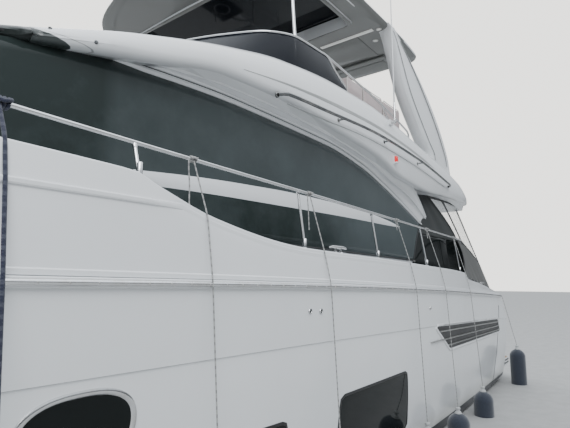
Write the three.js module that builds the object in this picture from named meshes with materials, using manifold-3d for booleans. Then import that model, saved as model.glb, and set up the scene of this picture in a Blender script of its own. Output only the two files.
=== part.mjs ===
// Flybridge motor yacht, afloat. Millimetres. +X points to the bow, +Y to port, +Z up.
// The origin lies on the waterline, on the centreline, amidships.
import * as THREE from "three";
import { mergeVertices } from "three/addons/utils/BufferGeometryUtils.js";
import Module from "manifold-3d";

const wasm = await Module();
wasm.setup();

// Driving dimensions
const SEAT = 0.4; // gap between pieces that touch
const STEM_HALF = 30; // half the width of the stem's blunt edge
const SOLE_Z = 1600; // saloon and cockpit floor
const WELL_AFT_X = -9000; // forward face of the transom coaming
const BULKHEAD_X = -5900; // aft wall of the saloon
const WELL_FORE_X = 2300; // forward end of the saloon well
const WELL_HALF = 1900; // half the width of the saloon and cockpit well
const TRANSOM_X = -9560; // upright face between the stern wings
const STERN_X = -7200; // joint between the hull and its stern moulding, forward of the garage
const PLATFORM_Z = 450; // bathing platform's deck
const FLY_SOLE_Z = 3830; // flybridge floor
const STEPS = 5; // treads from the platform up to the cockpit, on each side
const STEP_FOOT_Z = 640;
const STEP_RISE = 240;
const HOUSE_WALL = 60;
const GLASS = 16;
const CANVAS = 14;
const CANVAS_HEM_Z = 1885; // lower edge of the canvas across the stern, over the steps
const BULWARK_WALL = 90;
const STRAKE_HIGH = 52;
const STRAKE_PROUD = 42;
const RAIL_R = 14;
const HARDTOP_Z = 5990; // lower edge of the hardtop's rim
const SHAFT_Y = 1050;
const PROPELLER_X = -8000;
const PROPELLER_Z = -880;
const PROPELLER_R = 370;
const SHAFT_SLOPE = 7; // degrees
const RUDDER_X = -8900;
const TAB_X = -10108.4; // hinge line of the trim tabs, a barrel's radius behind the transom

// Hull lines from stern to stem, one row for each station: the x, half breadth y and height z of
// the deck edge, the knuckle and the chine, then the x and z of the keel.
const HULL_LINES = [
  // deck edge           knuckle              chine               keel
  [-9400, 2420, 1830, -9970, 2400, 1300, -10100, 2220, 100, -10100, -620],
  [-8000, 2480, 1900, -8200, 2455, 1420, -8300, 2280, 50, -8300, -730],
  [-5000, 2570, 2030, -5000, 2540, 1530, -5000, 2340, 20, -5000, -850],
  [-2000, 2600, 2125, -2000, 2570, 1620, -2000, 2340, 50, -2000, -900],
  [1000, 2580, 2185, 1000, 2530, 1680, 1000, 2220, 120, 1000, -880],
  [4000, 2420, 2270, 3950, 2300, 1760, 3800, 1820, 280, 3600, -790],
  [6500, 1980, 2370, 6400, 1780, 1860, 6100, 1200, 520, 5700, -640],
  [8400, 1300, 2470, 8200, 1080, 1970, 7800, 620, 780, 7300, -400],
  [9600, 650, 2545, 9300, 500, 2060, 8800, 250, 1000, 8300, 0],
  [10400, 30, 2600, 10080, 30, 2130, 9550, 30, 1180, 9000, 430],
];
// Topside bulge between chine and knuckle, outward, at each x.
const BULGE = [
  [-10100, 30],
  [-2000, 45],
  [3000, 10],
  [7000, -55],
  [10400, 0],
];
// Bulwark's top: x, z. It ramps down beside the deckhouse and steps down at the cockpit.
const BULWARK_TOP = [
  [-9400, 1875],
  [-8600, 1990],
  [-7900, 2075],
  [-7020, 2175],
  [-6980, 2250],
  [-5100, 2330],
  [-3700, 2375],
  [-2250, 2412],
  [-1940, 2432],
  [-1140, 2560],
  [-680, 2710],
  [-540, 2770],
  [-300, 2782],
  [4000, 2880],
  [7000, 3000],
  [10400, 3150],
];
// Deckhouse: x, half breadth at the deck, half breadth at the roof, roof height.
const HOUSE = [
  [-5960, 2070, 2020, 3500],
  [-5000, 2090, 2030, 3560],
  [-4200, 2100, 2030, 3660],
  [-3300, 2100, 2030, 3755],
  [-2000, 2100, 2030, 3765],
  [-800, 2080, 2000, 3735],
  [0, 2050, 1940, 3620],
  [900, 1970, 1800, 3420],
  [1700, 1840, 1600, 3170],
  [2300, 1690, 1400, 2960],
  [2900, 1480, 1140, 2740],
];
// Flybridge moulding: x, half breadth, lower edge z, coaming top z at the side, crown z amidships.
const FLY = [
  [-8400, 2150, 3600, 3760, 3790],
  [-8150, 2215, 3590, 3880, 3900],
  [-7750, 2255, 3585, 3975, 3990],
  [-6700, 2280, 3545, 4130, 4145],
  [-5900, 2290, 3500, 4220, 4240],
  [-5000, 2300, 3540, 4320, 4340],
  [-4200, 2305, 3700, 4375, 4395],
  [-3300, 2310, 3775, 4355, 4380],
  [-2300, 2305, 3830, 4250, 4310],
  [-1600, 2285, 3815, 4095, 4205],
  [-800, 2200, 3672, 3880, 4040],
  [0, 1970, 3555, 3655, 3830],
  [500, 1700, 3490, 3560, 3680],
  [900, 1150, 3435, 3470, 3520],
];
// Upper edge of the side glazing: x, z.
const GLAZING_TOP = [
  [-6190, 3000],
  [-5490, 3235],
  [-4770, 3450],
  [-4200, 3590],
  [-3330, 3690],
  [-1960, 3705],
  [-820, 3665],
  [30, 3550],
  [900, 3335],
  [1700, 3090],
  [2300, 2880],
  [2700, 2735],
];
// Hardtop: x, half breadth, crown height above the rim.
const HARDTOP = [
  [-6600, 1900, 90],
  [-6450, 1990, 120],
  [-5500, 2035, 150],
  [-3700, 2020, 150],
  [-3200, 1960, 148],
  [-2950, 1860, 140],
  [-2700, 1660, 125],
  [-2500, 1400, 105],
  [-2360, 1050, 85],
  [-2240, 550, 70],
];
// Fenders: x and y of each, the height of its centre, and the x where its line crosses the strake.
const FENDERS = [
  [-9850, 2600, 220, -9400],
  [-7050, 2625, -110, -6870],
  [-5760, 2630, -160, -5570],
  [-4590, 2640, -85, -4450],
  [-2600, 2660, -120, -2470],
];

const COLOURS = {
  gelcoat: [0xe9ebec, 0.25, 0],
  glass: [0x1c2426, 0.08, 0.1],
  steel: [0xc9ccce, 0.15, 1],
  canvas: [0x6c6f70, 0.9, 0],
  cushion: [0xb7aaa6, 0.85, 0],
  fender: [0x20242c, 0.9, 0],
  bronze: [0x9a7440, 0.35, 1],
  wood: [0x6e4a32, 0.5, 0],
  black: [0x1d1f21, 0.5, 0],
};

const part = new THREE.Group();

// Smooth curve through the rows of a table: rows hold x first, then one value for each column.
// Hermite pieces with limited slopes, so that the curve never overshoots its points.
function curve(rows, column = 1) {
  const n = rows.length;
  const slopes = [];
  for (let i = 0; i < n - 1; i++) {
    slopes.push((rows[i + 1][column] - rows[i][column]) / (rows[i + 1][0] - rows[i][0]));
  }
  const tangents = rows.map((_, i) => {
    if (i === 0) return slopes[0];
    if (i === n - 1) return slopes[n - 2];
    const [a, b] = [slopes[i - 1], slopes[i]];
    return a * b <= 0 ? 0 : (2 * a * b) / (a + b);
  });
  return (x) => {
    let i = 0;
    while (i < n - 2 && x > rows[i + 1][0]) i++;
    const h = rows[i + 1][0] - rows[i][0];
    const t = Math.min(1, Math.max(0, (x - rows[i][0]) / h));
    const s = 1 - t;
    return (
      rows[i][column] * (1 + 2 * t) * s * s +
      tangents[i] * h * t * s * s +
      rows[i + 1][column] * (3 - 2 * t) * t * t -
      tangents[i + 1] * h * t * t * s
    );
  };
}

// A solid from a geometry whose faces close.
function solid(geometry) {
  const bare = geometry.clone();
  bare.deleteAttribute("normal");
  bare.deleteAttribute("uv");
  const merged = mergeVertices(bare, 1e-3);
  const vertProperties = new Float32Array(merged.attributes.position.array);
  const triVerts = new Uint32Array(merged.index.array);
  const made = new wasm.Manifold(new wasm.Mesh({ numProp: 3, vertProperties, triVerts }));
  if (made.volume() >= 0) return made;
  for (let i = 0; i < triVerts.length; i += 3) {
    [triVerts[i], triVerts[i + 1]] = [triVerts[i + 1], triVerts[i]];
  }
  return new wasm.Manifold(new wasm.Mesh({ numProp: 3, vertProperties, triVerts }));
}

// Adds a named mesh to the part.
function piece(name, made, finish) {
  const mesh = made.getMesh();
  const step = mesh.numProp;
  const geometry = new THREE.BufferGeometry();
  const position = new Float32Array((mesh.vertProperties.length / step) * 3);
  for (let i = 0; i < position.length / 3; i++) {
    position.set(mesh.vertProperties.subarray(i * step, i * step + 3), i * 3);
  }
  geometry.setAttribute("position", new THREE.BufferAttribute(position, 3));
  geometry.setIndex(new THREE.BufferAttribute(new Uint32Array(mesh.triVerts), 1));
  geometry.computeVertexNormals();
  const [color, roughness, metalness] = COLOURS[finish];
  const item = new THREE.Mesh(geometry, new THREE.MeshStandardMaterial({ color, roughness, metalness }));
  item.name = name;
  part.add(item);
}

const join = (...solids) => solids.reduce((a, b) => a.add(b));
const flip = (made) => made.mirror([0, 1, 0]);

// A closed body through rings of equal length. Each ring is a closed loop of [x, y, z]; the first
// and the last ring are capped by strips between the points i and n - i.
function loft(rings) {
  const n = rings[0].length;
  const faces = [];
  const face = (a, b, c) => {
    if (a !== b && b !== c && a !== c) faces.push(a, b, c);
  };
  for (let r = 0; r < rings.length - 1; r++) {
    for (let i = 0; i < n; i++) {
      const [a, b] = [r * n + i, r * n + ((i + 1) % n)];
      face(a, b, b + n);
      face(a, b + n, a + n);
    }
  }
  const end = (rings.length - 1) * n;
  for (let i = 0; i < Math.floor(n / 2); i++) {
    const [a, b, c, d] = [i, i + 1, n - i - 1, (n - i) % n];
    face(a, d, c);
    face(a, c, b);
    face(end + a, end + b, end + c);
    face(end + a, end + c, end + d);
  }
  const geometry = new THREE.BufferGeometry();
  geometry.setAttribute("position", new THREE.Float32BufferAttribute(rings.flat(2), 3));
  geometry.setIndex(faces);
  return solid(geometry);
}

// A body that is the same on both sides: each station lists its points from the keel to the crown,
// on the port side, the first and the last on the centreline.
function hullLike(stations) {
  return loft(
    stations.map((half) => [
      ...half,
      ...half
        .slice(1, -1)
        .reverse()
        .map(([x, y, z]) => [x, -y, z]),
    ]),
  );
}

function box(x0, x1, y0, y1, z0, z1) {
  const geometry = new THREE.BoxGeometry(x1 - x0, y1 - y0, z1 - z0);
  geometry.translate((x0 + x1) / 2, (y0 + y1) / 2, (z0 + z1) / 2);
  return solid(geometry);
}

// An outline of [x, z] points pushed along Y.
function sidePrism(points, y0, y1) {
  const shape = new THREE.Shape(points.map(([x, z]) => new THREE.Vector2(x, z)));
  const geometry = new THREE.ExtrudeGeometry(shape, { depth: y1 - y0, bevelEnabled: false });
  geometry.rotateX(Math.PI / 2);
  geometry.translate(0, y1, 0);
  return solid(geometry);
}

// An outline of [x, y] points pushed up along Z.
function planPrism(points, z0, z1) {
  const shape = new THREE.Shape(points.map(([x, y]) => new THREE.Vector2(x, y)));
  const geometry = new THREE.ExtrudeGeometry(shape, { depth: z1 - z0, bevelEnabled: false });
  geometry.translate(0, 0, z0);
  return solid(geometry);
}

// A round bar between two points, with its own radius at each end.
function bar(from, to, radius, sides = 10, radiusTo = radius) {
  const [a, b] = [new THREE.Vector3(...from), new THREE.Vector3(...to)];
  const along = b.clone().sub(a);
  const geometry = new THREE.CylinderGeometry(radiusTo, radius, along.length(), sides);
  geometry.translate(0, along.length() / 2, 0);
  geometry.applyQuaternion(
    new THREE.Quaternion().setFromUnitVectors(new THREE.Vector3(0, 1, 0), along.normalize()),
  );
  geometry.translate(...from);
  return solid(geometry);
}

// A round tube along a smooth path.
function tube(points, radius, steps, sides = 8) {
  const path = new THREE.CatmullRomCurve3(points.map((p) => new THREE.Vector3(...p)), false, "centripetal");
  const ring = new THREE.Shape();
  ring.absarc(0, 0, radius, 0, 2 * Math.PI);
  const geometry = new THREE.ExtrudeGeometry(ring, {
    steps,
    curveSegments: sides / 2,
    bevelEnabled: false,
    extrudePath: path,
  });
  return solid(geometry);
}

// A turned body: the profile lists [radius, height] from axis to axis.
function turned(profile, sides = 20) {
  const geometry = new THREE.LatheGeometry(
    profile.map(([r, h]) => new THREE.Vector2(r, h)),
    sides,
  );
  geometry.rotateX(Math.PI / 2);
  return solid(geometry);
}

// An outline drawn in by the seat gap, with mitred corners.
function drawnIn(points, distance = SEAT) {
  const n = points.length;
  const area = points.reduce((sum, [x, y], i) => {
    const [u, v] = points[(i + 1) % n];
    return sum + x * v - u * y;
  }, 0);
  const turn = Math.sign(area);
  return points.map((point, i) => {
    const [before, after] = [points[(i + n - 1) % n], points[(i + 1) % n]];
    const normal = (a, b) => {
      const length = Math.hypot(b[0] - a[0], b[1] - a[1]);
      return [(-turn * (b[1] - a[1])) / length, (turn * (b[0] - a[0])) / length];
    };
    const [p, q] = [normal(before, point), normal(point, after)];
    const [nx, ny] = [p[0] + q[0], p[1] + q[1]];
    const scale = (2 * distance) / (nx * nx + ny * ny);
    return [point[0] + nx * scale, point[1] + ny * scale];
  });
}

const radians = (degrees) => (degrees * Math.PI) / 180;

// Hull lines as curves of the station number.
const stationRows = HULL_LINES.map((row, i) => [i, ...row]);
const line = (column) => curve(stationRows, column + 1);
const [deckX, deckY, deckZ, knuckleX, knuckleY, knuckleZ, chineX, chineY, chineZ, keelX, keelZ] =
  HULL_LINES[0].map((_, column) => line(column));
const bulge = curve(BULGE);
const bulwarkTop = curve(BULWARK_TOP);
const STATIONS = [0, 0.5, 1, 1.5, 2, 2.5, 3, 3.5, 4, 4.5, 5, 5.5, 6, 6.5, 7, 7.5, 8, 8.35, 8.7, 9];
const mix = (a, b, t) => a + (b - a) * t;

// Points of one hull station from the keel to the middle of the deck.
function hullStation(s) {
  const keel = [keelX(s), 0, keelZ(s)];
  const chine = [chineX(s), chineY(s), chineZ(s)];
  const knuckle = [knuckleX(s), knuckleY(s), knuckleZ(s)];
  const deck = [deckX(s), deckY(s), deckZ(s)];
  const between = (a, b, t, out) => [mix(a[0], b[0], t), mix(a[1], b[1], t) + out, mix(a[2], b[2], t)];
  const blunt = (p) => [p[0], Math.max(p[1], STEM_HALF), p[2]];
  return [
    keel,
    blunt(between(keel, chine, 0.03, 0)),
    blunt(between(keel, chine, 0.5, 0)),
    blunt(chine),
    blunt(between(chine, knuckle, 0.12, 15)),
    blunt(between(chine, knuckle, 0.5, bulge(chine[0]))),
    blunt(between(chine, knuckle, 0.8, bulge(chine[0]) * 0.6)),
    blunt(knuckle),
    blunt(between(knuckle, deck, 0.5, 4)),
    blunt(deck),
    [deck[0], 0, deck[2]],
  ];
}
const hullBody = hullLike(STATIONS.map(hullStation));

function buildHull() {
  const well = box(WELL_AFT_X, WELL_FORE_X, -WELL_HALF, WELL_HALF, SOLE_Z, 4000);
  const behind = box(-11000, TRANSOM_X, -2180, 2180, PLATFORM_Z - 150, 4000);
  const garage = box(TRANSOM_X - 1, -7300, -1150, 1150, 620, 1350);
  let stern = hullBody.subtract(well).subtract(behind).subtract(garage);
  for (const side of [-1, 1]) {
    const [y0, y1] = side > 0 ? [1350, WELL_HALF] : [-WELL_HALF, -1350];
    const run = (WELL_AFT_X - TRANSOM_X) / STEPS;
    for (let i = 0; i < STEPS; i++) {
      const riser = TRANSOM_X + run * (i + 1) + (i === STEPS - 1 ? 1 : 0);
      stern = stern.subtract(box(TRANSOM_X - 1, riser, y0, y1, STEP_FOOT_Z + STEP_RISE * i, 4000));
    }
    const y = side * SHAFT_Y;
    stern = stern.subtract(bar([RUDDER_X, y, -700], [RUDDER_X, y, -150], 36.2, 24));
    // Above the sole the hull's side is a moulding of its own, from the stern to the foredeck
    const [w0, w1] = side > 0 ? [WELL_HALF, 3000] : [-3000, -WELL_HALF];
    const topside = hullBody.subtract(behind).intersect(box(-11000, WELL_FORE_X, w0, w1, SOLE_Z + SEAT, 4000));
    piece(side > 0 ? "side_deck_port" : "side_deck_stbd", topside, "gelcoat");
    stern = stern.subtract(box(-11000, WELL_FORE_X, w0 - 1, w1 + 1, SOLE_Z, 4000));
  }
  piece("hull", hullBody.intersect(box(STERN_X, 12000, -3000, 3000, -3000, SOLE_Z)), "gelcoat");
  piece("stern", stern.intersect(box(-11000, STERN_X - SEAT, -3000, 3000, -3000, 4000)), "gelcoat");
  const bow = box(WELL_FORE_X + SEAT, 12000, -3000, 3000, SOLE_Z + SEAT, 4000);
  piece("foredeck", hullBody.intersect(bow), "gelcoat");
}

// Plan line of the deck edge from port aft round the bow to starboard aft, with x stations added
// where the bulwark's top bends.
function sheerPath(extra) {
  const xs = [...STATIONS.map((s) => deckX(s)), ...extra].sort((a, b) => a - b);
  const port = xs.filter((x, i) => i === 0 || x - xs[i - 1] > 5).map((x) => [x, beamAt(x)]);
  return [...port, ...port.map(([x, y]) => [x, -y]).reverse()];
}

// Half breadth and height of the faceted deck edge at x: straight between the hull's stations.
function beamAt(x) {
  for (let i = 1; i < STATIONS.length; i++) {
    const [a, b] = [STATIONS[i - 1], STATIONS[i]];
    if (x <= deckX(b) || i === STATIONS.length - 1) {
      const t = (x - deckX(a)) / (deckX(b) - deckX(a));
      return mix(Math.max(deckY(a), STEM_HALF), Math.max(deckY(b), STEM_HALF), t);
    }
  }
  return STEM_HALF;
}
function sheerAt(x) {
  for (let i = 1; i < STATIONS.length; i++) {
    const [a, b] = [STATIONS[i - 1], STATIONS[i]];
    if (x <= deckX(b) || i === STATIONS.length - 1) {
      return mix(deckZ(a), deckZ(b), (x - deckX(a)) / (deckX(b) - deckX(a)));
    }
  }
  return deckZ(0);
}

// A body carried along the deck edge. section(x) gives [inward, z] points, and the plan line is
// offset with mitred corners.
function alongSheer(path, section) {
  const rings = path.map(([x, y], i) => {
    const before = path[Math.max(i - 1, 0)];
    const after = path[Math.min(i + 1, path.length - 1)];
    const unit = (a, b) => {
      const length = Math.hypot(b[0] - a[0], b[1] - a[1]);
      return [(b[0] - a[0]) / length, (b[1] - a[1]) / length];
    };
    const u = i === 0 ? unit([x, y], after) : unit(before, [x, y]);
    const v = i === path.length - 1 ? u : unit([x, y], after);
    const [nx, ny] = [u[1] + v[1], -u[0] - v[0]];
    const scale = 2 / (nx * nx + ny * ny);
    return section(x).map(([inward, z]) => [x + nx * scale * inward, y + ny * scale * inward, z]);
  });
  return loft(rings);
}

const BOW_SLOT = box(9850, 10600, -95, 95, 2725, 3400);
const bulwarkBody = makeBulwark();
function makeBulwark() {
  const bends = BULWARK_TOP.map((row) => row[0]).slice(1, -1);
  return alongSheer(sheerPath([...bends, -800, -1500]), (x) => {
    const [low, top] = [sheerAt(x) + SEAT, bulwarkTop(x)];
    return [
      [12, low],
      [22, mix(low, top, 0.35)],
      [55, top - 25],
      [75, top],
      [55 + BULWARK_WALL, top],
      [12 + BULWARK_WALL, low],
    ];
  }).subtract(BOW_SLOT);
}

function buildBulwark() {
  const open = bulwarkBody.subtract(box(10200, 10305, -30, 30, 2500, 2800));
  piece("bulwark_port", open.intersect(box(-12000, 12000, SEAT / 2, 4000, 0, 4000)), "gelcoat");
  piece("bulwark_stbd", open.intersect(box(-12000, 12000, -4000, -SEAT / 2, 0, 4000)), "gelcoat");
}

function buildStrake() {
  const made = alongSheer(sheerPath([]), (x) => {
    const z = sheerAt(x);
    return [
      [x < -8000 ? -SEAT - 2.5 : -SEAT, z - STRAKE_HIGH],
      [-STRAKE_PROUD * 0.75, z - STRAKE_HIGH * 0.85],
      [-STRAKE_PROUD, z - STRAKE_HIGH * 0.5],
      [-STRAKE_PROUD * 0.75, z - STRAKE_HIGH * 0.15],
      [-SEAT, z],
      [x < -8000 ? -SEAT - 1.2 : -SEAT, z - STRAKE_HIGH * 0.5],
    ];
  });
  piece("rubbing_strake", made, "steel");
}

// Deckhouse
const HOUSE_X = HOUSE.map((row) => row[0]);
const houseBase = curve(HOUSE, 1);
const houseTop = curve(HOUSE, 2);
const houseRoof = curve(HOUSE, 3);
const glazingTop = curve(GLAZING_TOP);

// The deckhouse's outer form, drawn in by a distance on the sides, roof and front.
function houseForm(inset) {
  const xs = onDeck([...HOUSE_X, -5500, -2650, -1400, -400, 450, 1300]);
  return hullLike(
    xs.map((x, i) => {
      const last = i === xs.length - 1;
      const px = last ? x - inset : x;
      const low = inset > 0 ? sheerAt(x) - 700 : sheerAt(x) + SEAT;
      const roof = houseRoof(x) - inset;
      return [
        [px, 0, low],
        [px, houseBase(x) - inset, low],
        [px, houseTop(x) + 8 - inset, roof - 60],
        [px, houseTop(x) - 45 - inset, roof],
        [px, 0, roof + 1],
      ];
    }),
  );
}

function buildDeckhouse() {
  const outer = houseForm(0);
  const inner = houseForm(HOUSE_WALL).intersect(box(BULKHEAD_X, 4000, -3000, 3000, 0, 5000));
  const upper = GLAZING_TOP.filter(([x]) => x > BULKHEAD_X + 300 && x < 2500);
  const side = [[2300, 2600], [-500, 2520], [-5450, 2440], ...upper];
  const front = [[980, -1600], [2660, -1080], [2660, 1080], [980, 1600]];
  const sideCut = sidePrism(side, 1200, 3000);
  const frontCut = planPrism(front, 2600, 4000);
  let house = outer.subtract(inner).subtract(sideCut).subtract(flip(sideCut)).subtract(frontCut);
  const posts = [[-3350, 1925], [-1150, 1925], [250, 1790], [1500, 1560]];
  for (const [x, y] of posts) {
    for (const side of [-1, 1]) {
      const [y0, y1] = side > 0 ? [y - 60, y] : [-y, 60 - y];
      const post = box(x - 45, x + 45, y0, y1, sheerAt(x) + 30, 4000).intersect(houseForm(HOUSE_WALL - 10));
      house = house.add(post);
    }
  }
  // Aft wall down to the floor, with the door's opening and a window beside it
  const wall = box(BULKHEAD_X - HOUSE_WALL, BULKHEAD_X, -WELL_HALF + 1, WELL_HALF - 1, SOLE_Z + SEAT, 2300);
  house = house.add(wall);
  house = house.subtract(box(-6100, BULKHEAD_X + 1, -900, 0, SOLE_Z + 20, 3380));
  house = house.subtract(box(-6100, BULKHEAD_X + 1, 120, 1500, 2300, 3300));
  // Side wings that sweep down and aft from the flybridge
  const wing = sidePrism(
    [
      [-5900, 3180], [-6190, 3050], [-6420, 2960], [-6560, 2985], [-6500, 3130], [-6330, 3290], [-6050, 3400],
      [-5900, 3440],
    ],
    1960,
    2060,
  );
  house = join(house, wing, flip(wing));
  piece("deckhouse", house, "gelcoat");

  const sheet = outer.subtract(houseForm(GLASS));
  const pane = sheet.intersect(sidePrism(drawnIn(side), 1200, 3000));
  piece("side_glass_port", pane, "glass");
  piece("side_glass_stbd", flip(pane), "glass");
  piece("windscreen", sheet.intersect(planPrism(drawnIn(front), 2600, 4000)), "glass");
}

const FLY_X = FLY.map((row) => row[0]);
const flyHalf = curve(FLY, 1);
const flyLow = curve(FLY, 2);
const flyTop = curve(FLY, 3);
const flyCrown = curve(FLY, 4);

function flyForm() {
  const xs = [...FLY_X, -7200, -5450, -4600, -3800, -2800, -1200, -400, 250, 700].sort((a, b) => a - b);
  return hullLike(
    xs.map((x) => {
      const half = flyHalf(x);
      const low = flyLow(x);
      const top = flyTop(x);
      const inner = Math.min(houseTop(x) + 60, half - 90);
      const under = x < -5960 ? 3500 : houseRoof(x) - 5;
      return [
        [x, 0, under],
        [x, inner, under],
        [x, half - 60, low],
        [x, half - 5, low + 25],
        [x, half, mix(low, top, 0.4)],
        [x, half - 50, mix(low, top, 0.85)],
        [x, half - 110, top],
        [x, half - 230, top + 12],
        [x, 0, flyCrown(x)],
      ];
    }),
  );
}
const flyBody = flyForm().subtract(houseForm(0).translate([0, 0, SEAT]));
const STAIR_WELL = [-7300, -6250, 750, 1500];
const ANTENNA = { x: -4650, y: 2290, z: 4250 }; // inner end of its hinge pin, on a pad of the coaming

function buildFlybridge() {
  const half = 1990;
  const floor = [
    [-7650, -1750], [-7500, -1900], [-6700, -half], [-2900, -half], [-2000, -1750], [-1600, -1200],
    [-1450, -500], [-1450, 500], [-1600, 1200], [-2000, 1750], [-2900, half], [-6700, half],
    [-7500, 1900], [-7650, 1750],
  ];
  const bath = planPrism(floor, FLY_SOLE_Z, 5000);
  const [x0, x1, y0, y1] = STAIR_WELL;
  const stairs = box(x0, x1, y0, y1, 3000, 5000);
  const antennaPad = box(ANTENNA.x - 40, ANTENNA.x + 40, 2150, ANTENNA.y - SEAT, ANTENNA.z - 35, ANTENNA.z + 35);
  piece("flybridge", flyBody.subtract(bath).subtract(stairs).add(antennaPad), "gelcoat");
}

// Names for the two sides.
const SIDES = [
  ["port", 1],
  ["stbd", -1],
];

function buildStern() {
  const deck = [
    [TRANSOM_X - SEAT, 2178], [-10110, 2178], [-10110, 2290], [-10400, 2290], [-10540, 2200], [-10600, 2000],
    [-10600, -2000], [-10540, -2200], [-10400, -2290], [-10110, -2290], [-10110, -2178], [TRANSOM_X - SEAT, -2178],
  ];
  piece("swim_platform", planPrism(deck, PLATFORM_Z - 150 + SEAT, PLATFORM_Z), "gelcoat");

  const [barrel, hingeZ] = [12, 1440];
  const hingeX = TRANSOM_X - barrel - SEAT;
  const leaf = box(hingeX - 44, hingeX + 6, -1200, 1200, 560, hingeZ);
  const pin = bar([hingeX, -1150, hingeZ], [hingeX, 1150, hingeZ], barrel, 12);
  piece("garage_door", leaf.add(pin), "gelcoat");

  for (const [name, side] of SIDES) {
    const hingeY = WELL_HALF - barrel - SEAT;
    const gate = box(-9035, -9015, 1370, hingeY - 4, 1670, 2040);
    const post = bar([-9025, hingeY, 1640], [-9025, hingeY, 1850], barrel, 12);
    const made = join(gate, post, box(-9035, -9015, hingeY - 30, hingeY, 1690, 1820));
    piece("transom_gate_" + name, side > 0 ? made : flip(made), "gelcoat");
  }
}

const coachTop = curve([
  [2905, 2715],
  [4500, 2745],
  [6000, 2730],
  [7000, 2680],
  [7500, 2590],
]);
const coachHalf = curve([
  [2905, 1470],
  [4000, 1400],
  [5500, 1180],
  [6800, 850],
  [7500, 560],
]);
// Stations of a body that rests on the deck: the given x values and the hull's own between them.
function onDeck(xs) {
  const [lo, hi] = [Math.min(...xs), Math.max(...xs)];
  const own = STATIONS.map((s) => deckX(s)).filter((x) => x > lo + 20 && x < hi - 20);
  return [...xs, ...own].sort((a, b) => a - b).filter((x, i, all) => i === 0 || x - all[i - 1] > 1);
}

const HATCH = [6480, 7080, 300]; // aft edge, forward edge, half width
const HATCH_Z = 2760;

function buildForedeck() {
  const xs = onDeck([2905, 3300, 3800, 4500, 5200, 6000, 6600, 7100, 7500]);
  const coach = hullLike(
    xs.map((x) => [
      [x, 0, sheerAt(x) + SEAT],
      [x, coachHalf(x), sheerAt(x) + SEAT],
      [x, coachHalf(x) - 60, coachTop(x) - 60],
      [x, coachHalf(x) - 130, coachTop(x) - 12],
      [x, 0, coachTop(x)],
    ]),
  );
  const plinth = box(HATCH[0] - 40, HATCH[1] + 60, -HATCH[2] - 40, HATCH[2] + 40, 2500, HATCH_Z);
  piece("coachroof", coach.add(plinth), "gelcoat");

  const pinZ = HATCH_Z + 8 + SEAT;
  const lid = box(HATCH[0], HATCH[1], -HATCH[2], HATCH[2], HATCH_Z + 6, HATCH_Z + 34);
  const pin = bar([HATCH[1] + 8, -220, pinZ], [HATCH[1] + 8, 220, pinZ], 8, 12);
  piece("foredeck_hatch", join(lid, pin, box(HATCH[1] - 20, HATCH[1] + 8, -200, 200, pinZ, pinZ + 7)), "glass");

  const pad = planPrism(
    [[3500, -1080], [3500, 1080], [4600, 1000], [6000, 760], [6250, 600], [6250, -600], [6000, -760], [4600, -1000]],
    2600, 2860,
  );
  piece("foredeck_sunpad", pad.subtract(coach.translate([0, 0, SEAT])), "cushion");

  // Anchor under its roller, the chain along the deck, and the windlass
  const z = sheerAt(8850);
  const base = join(
    box(8450, 8850, -170, 170, sheerAt(8850) + SEAT, z + 90),
    bar([8650, 0, z + 60], [8650, 0, z + 240], 90, 14),
  );
  const [low, high] = [2725 + SEAT, 2790];
  const channel = sidePrism(
    [[8800, z + 10], [9600, sheerAt(9600) + 5], [9850, low], [10640, low], [10640, high], [9850, high], [8800, z + 80]],
    -60, 60,
  );
  const roller = bar([10600, -75, high], [10600, 75, high], 48, 12);
  const shank = bar([10300, 0, high + 20], [10790, 0, 2660], 32, 8);
  const fluke = sidePrism([[10740, 2700], [10830, 2680], [10640, 2250], [10520, 2180], [10560, 2330]], -28, 28);
  const plate = sidePrism([[10620, 2380], [10680, 2370], [10590, 2190], [10530, 2190]], -220, 220);
  piece("anchor_gear", join(base, channel, roller, shank, fluke, plate), "steel");
}

const RAIL_PATH = [
  [-7300, 2318, 2830],
  [-6900, 2330, 2839],
  [-5300, 2365, 2873],
  [-3750, 2400, 2905],
  [-2300, 2415, 2938],
  [-600, 2420, 2974],
  [1000, 2405, 3020],
  [2600, 2345, 3075],
  [4200, 2220, 3140],
  [5800, 2010, 3220],
  [7300, 1650, 3310],
  [8600, 1170, 3400],
  [9600, 640, 3480],
  [10250, 300, 3530],
];

function railTube(radius) {
  const starboard = RAIL_PATH.map(([x, y, z]) => [x, -y, z]).reverse();
  return tube([...RAIL_PATH, [10420, 0, 3540], ...starboard], radius, 52, 6);
}

function buildGuardRail() {
  let rail = railTube(RAIL_R);
  for (const [x, y, z] of RAIL_PATH.slice(1, -1)) {
    const foot = [x, beamAt(x) - 110, bulwarkTop(x) + SEAT];
    const post = bar([foot[0], foot[1], foot[2] - 20], [x, y, z], 12, 6).subtract(bulwarkBody.translate([0, 0, SEAT]));
    rail = join(rail, post, flip(post));
  }
  piece("guard_rail", rail, "steel");
}

const FENDER_R = 145;
const FENDER_HALF = 480; // half the length of a fender's body

function buildFenders() {
  const held = join(railTube(RAIL_R + SEAT), bulwarkBody.translate([0, SEAT, SEAT]));
  const [r, h] = [FENDER_R, FENDER_HALF];
  const outline = [
    [0, -h], [r / 2, 15 - h], [r - 20, 70 - h], [r, 160 - h], [r, h - 160],
    [r - 20, h - 70], [r / 2, h - 15], [34, h + 30], [30, h + 75], [0, h + 80],
  ];
  FENDERS.forEach(([x, y, middle, lineX], i) => {
    const body = turned(outline, 16).translate([x, y, middle]);
    const end = lineEnd(lineX);
    const over = [lineX, beamAt(lineX) + STRAKE_PROUD + 20, sheerAt(lineX) + 10];
    const line = bar([x, y, middle + h + 60], over, 6, 6);
    const rise = bar(over, end, 6, 6).subtract(held);
    piece("fender_" + (i + 1), join(body, line, rise), "fender");
  });
}

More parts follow.
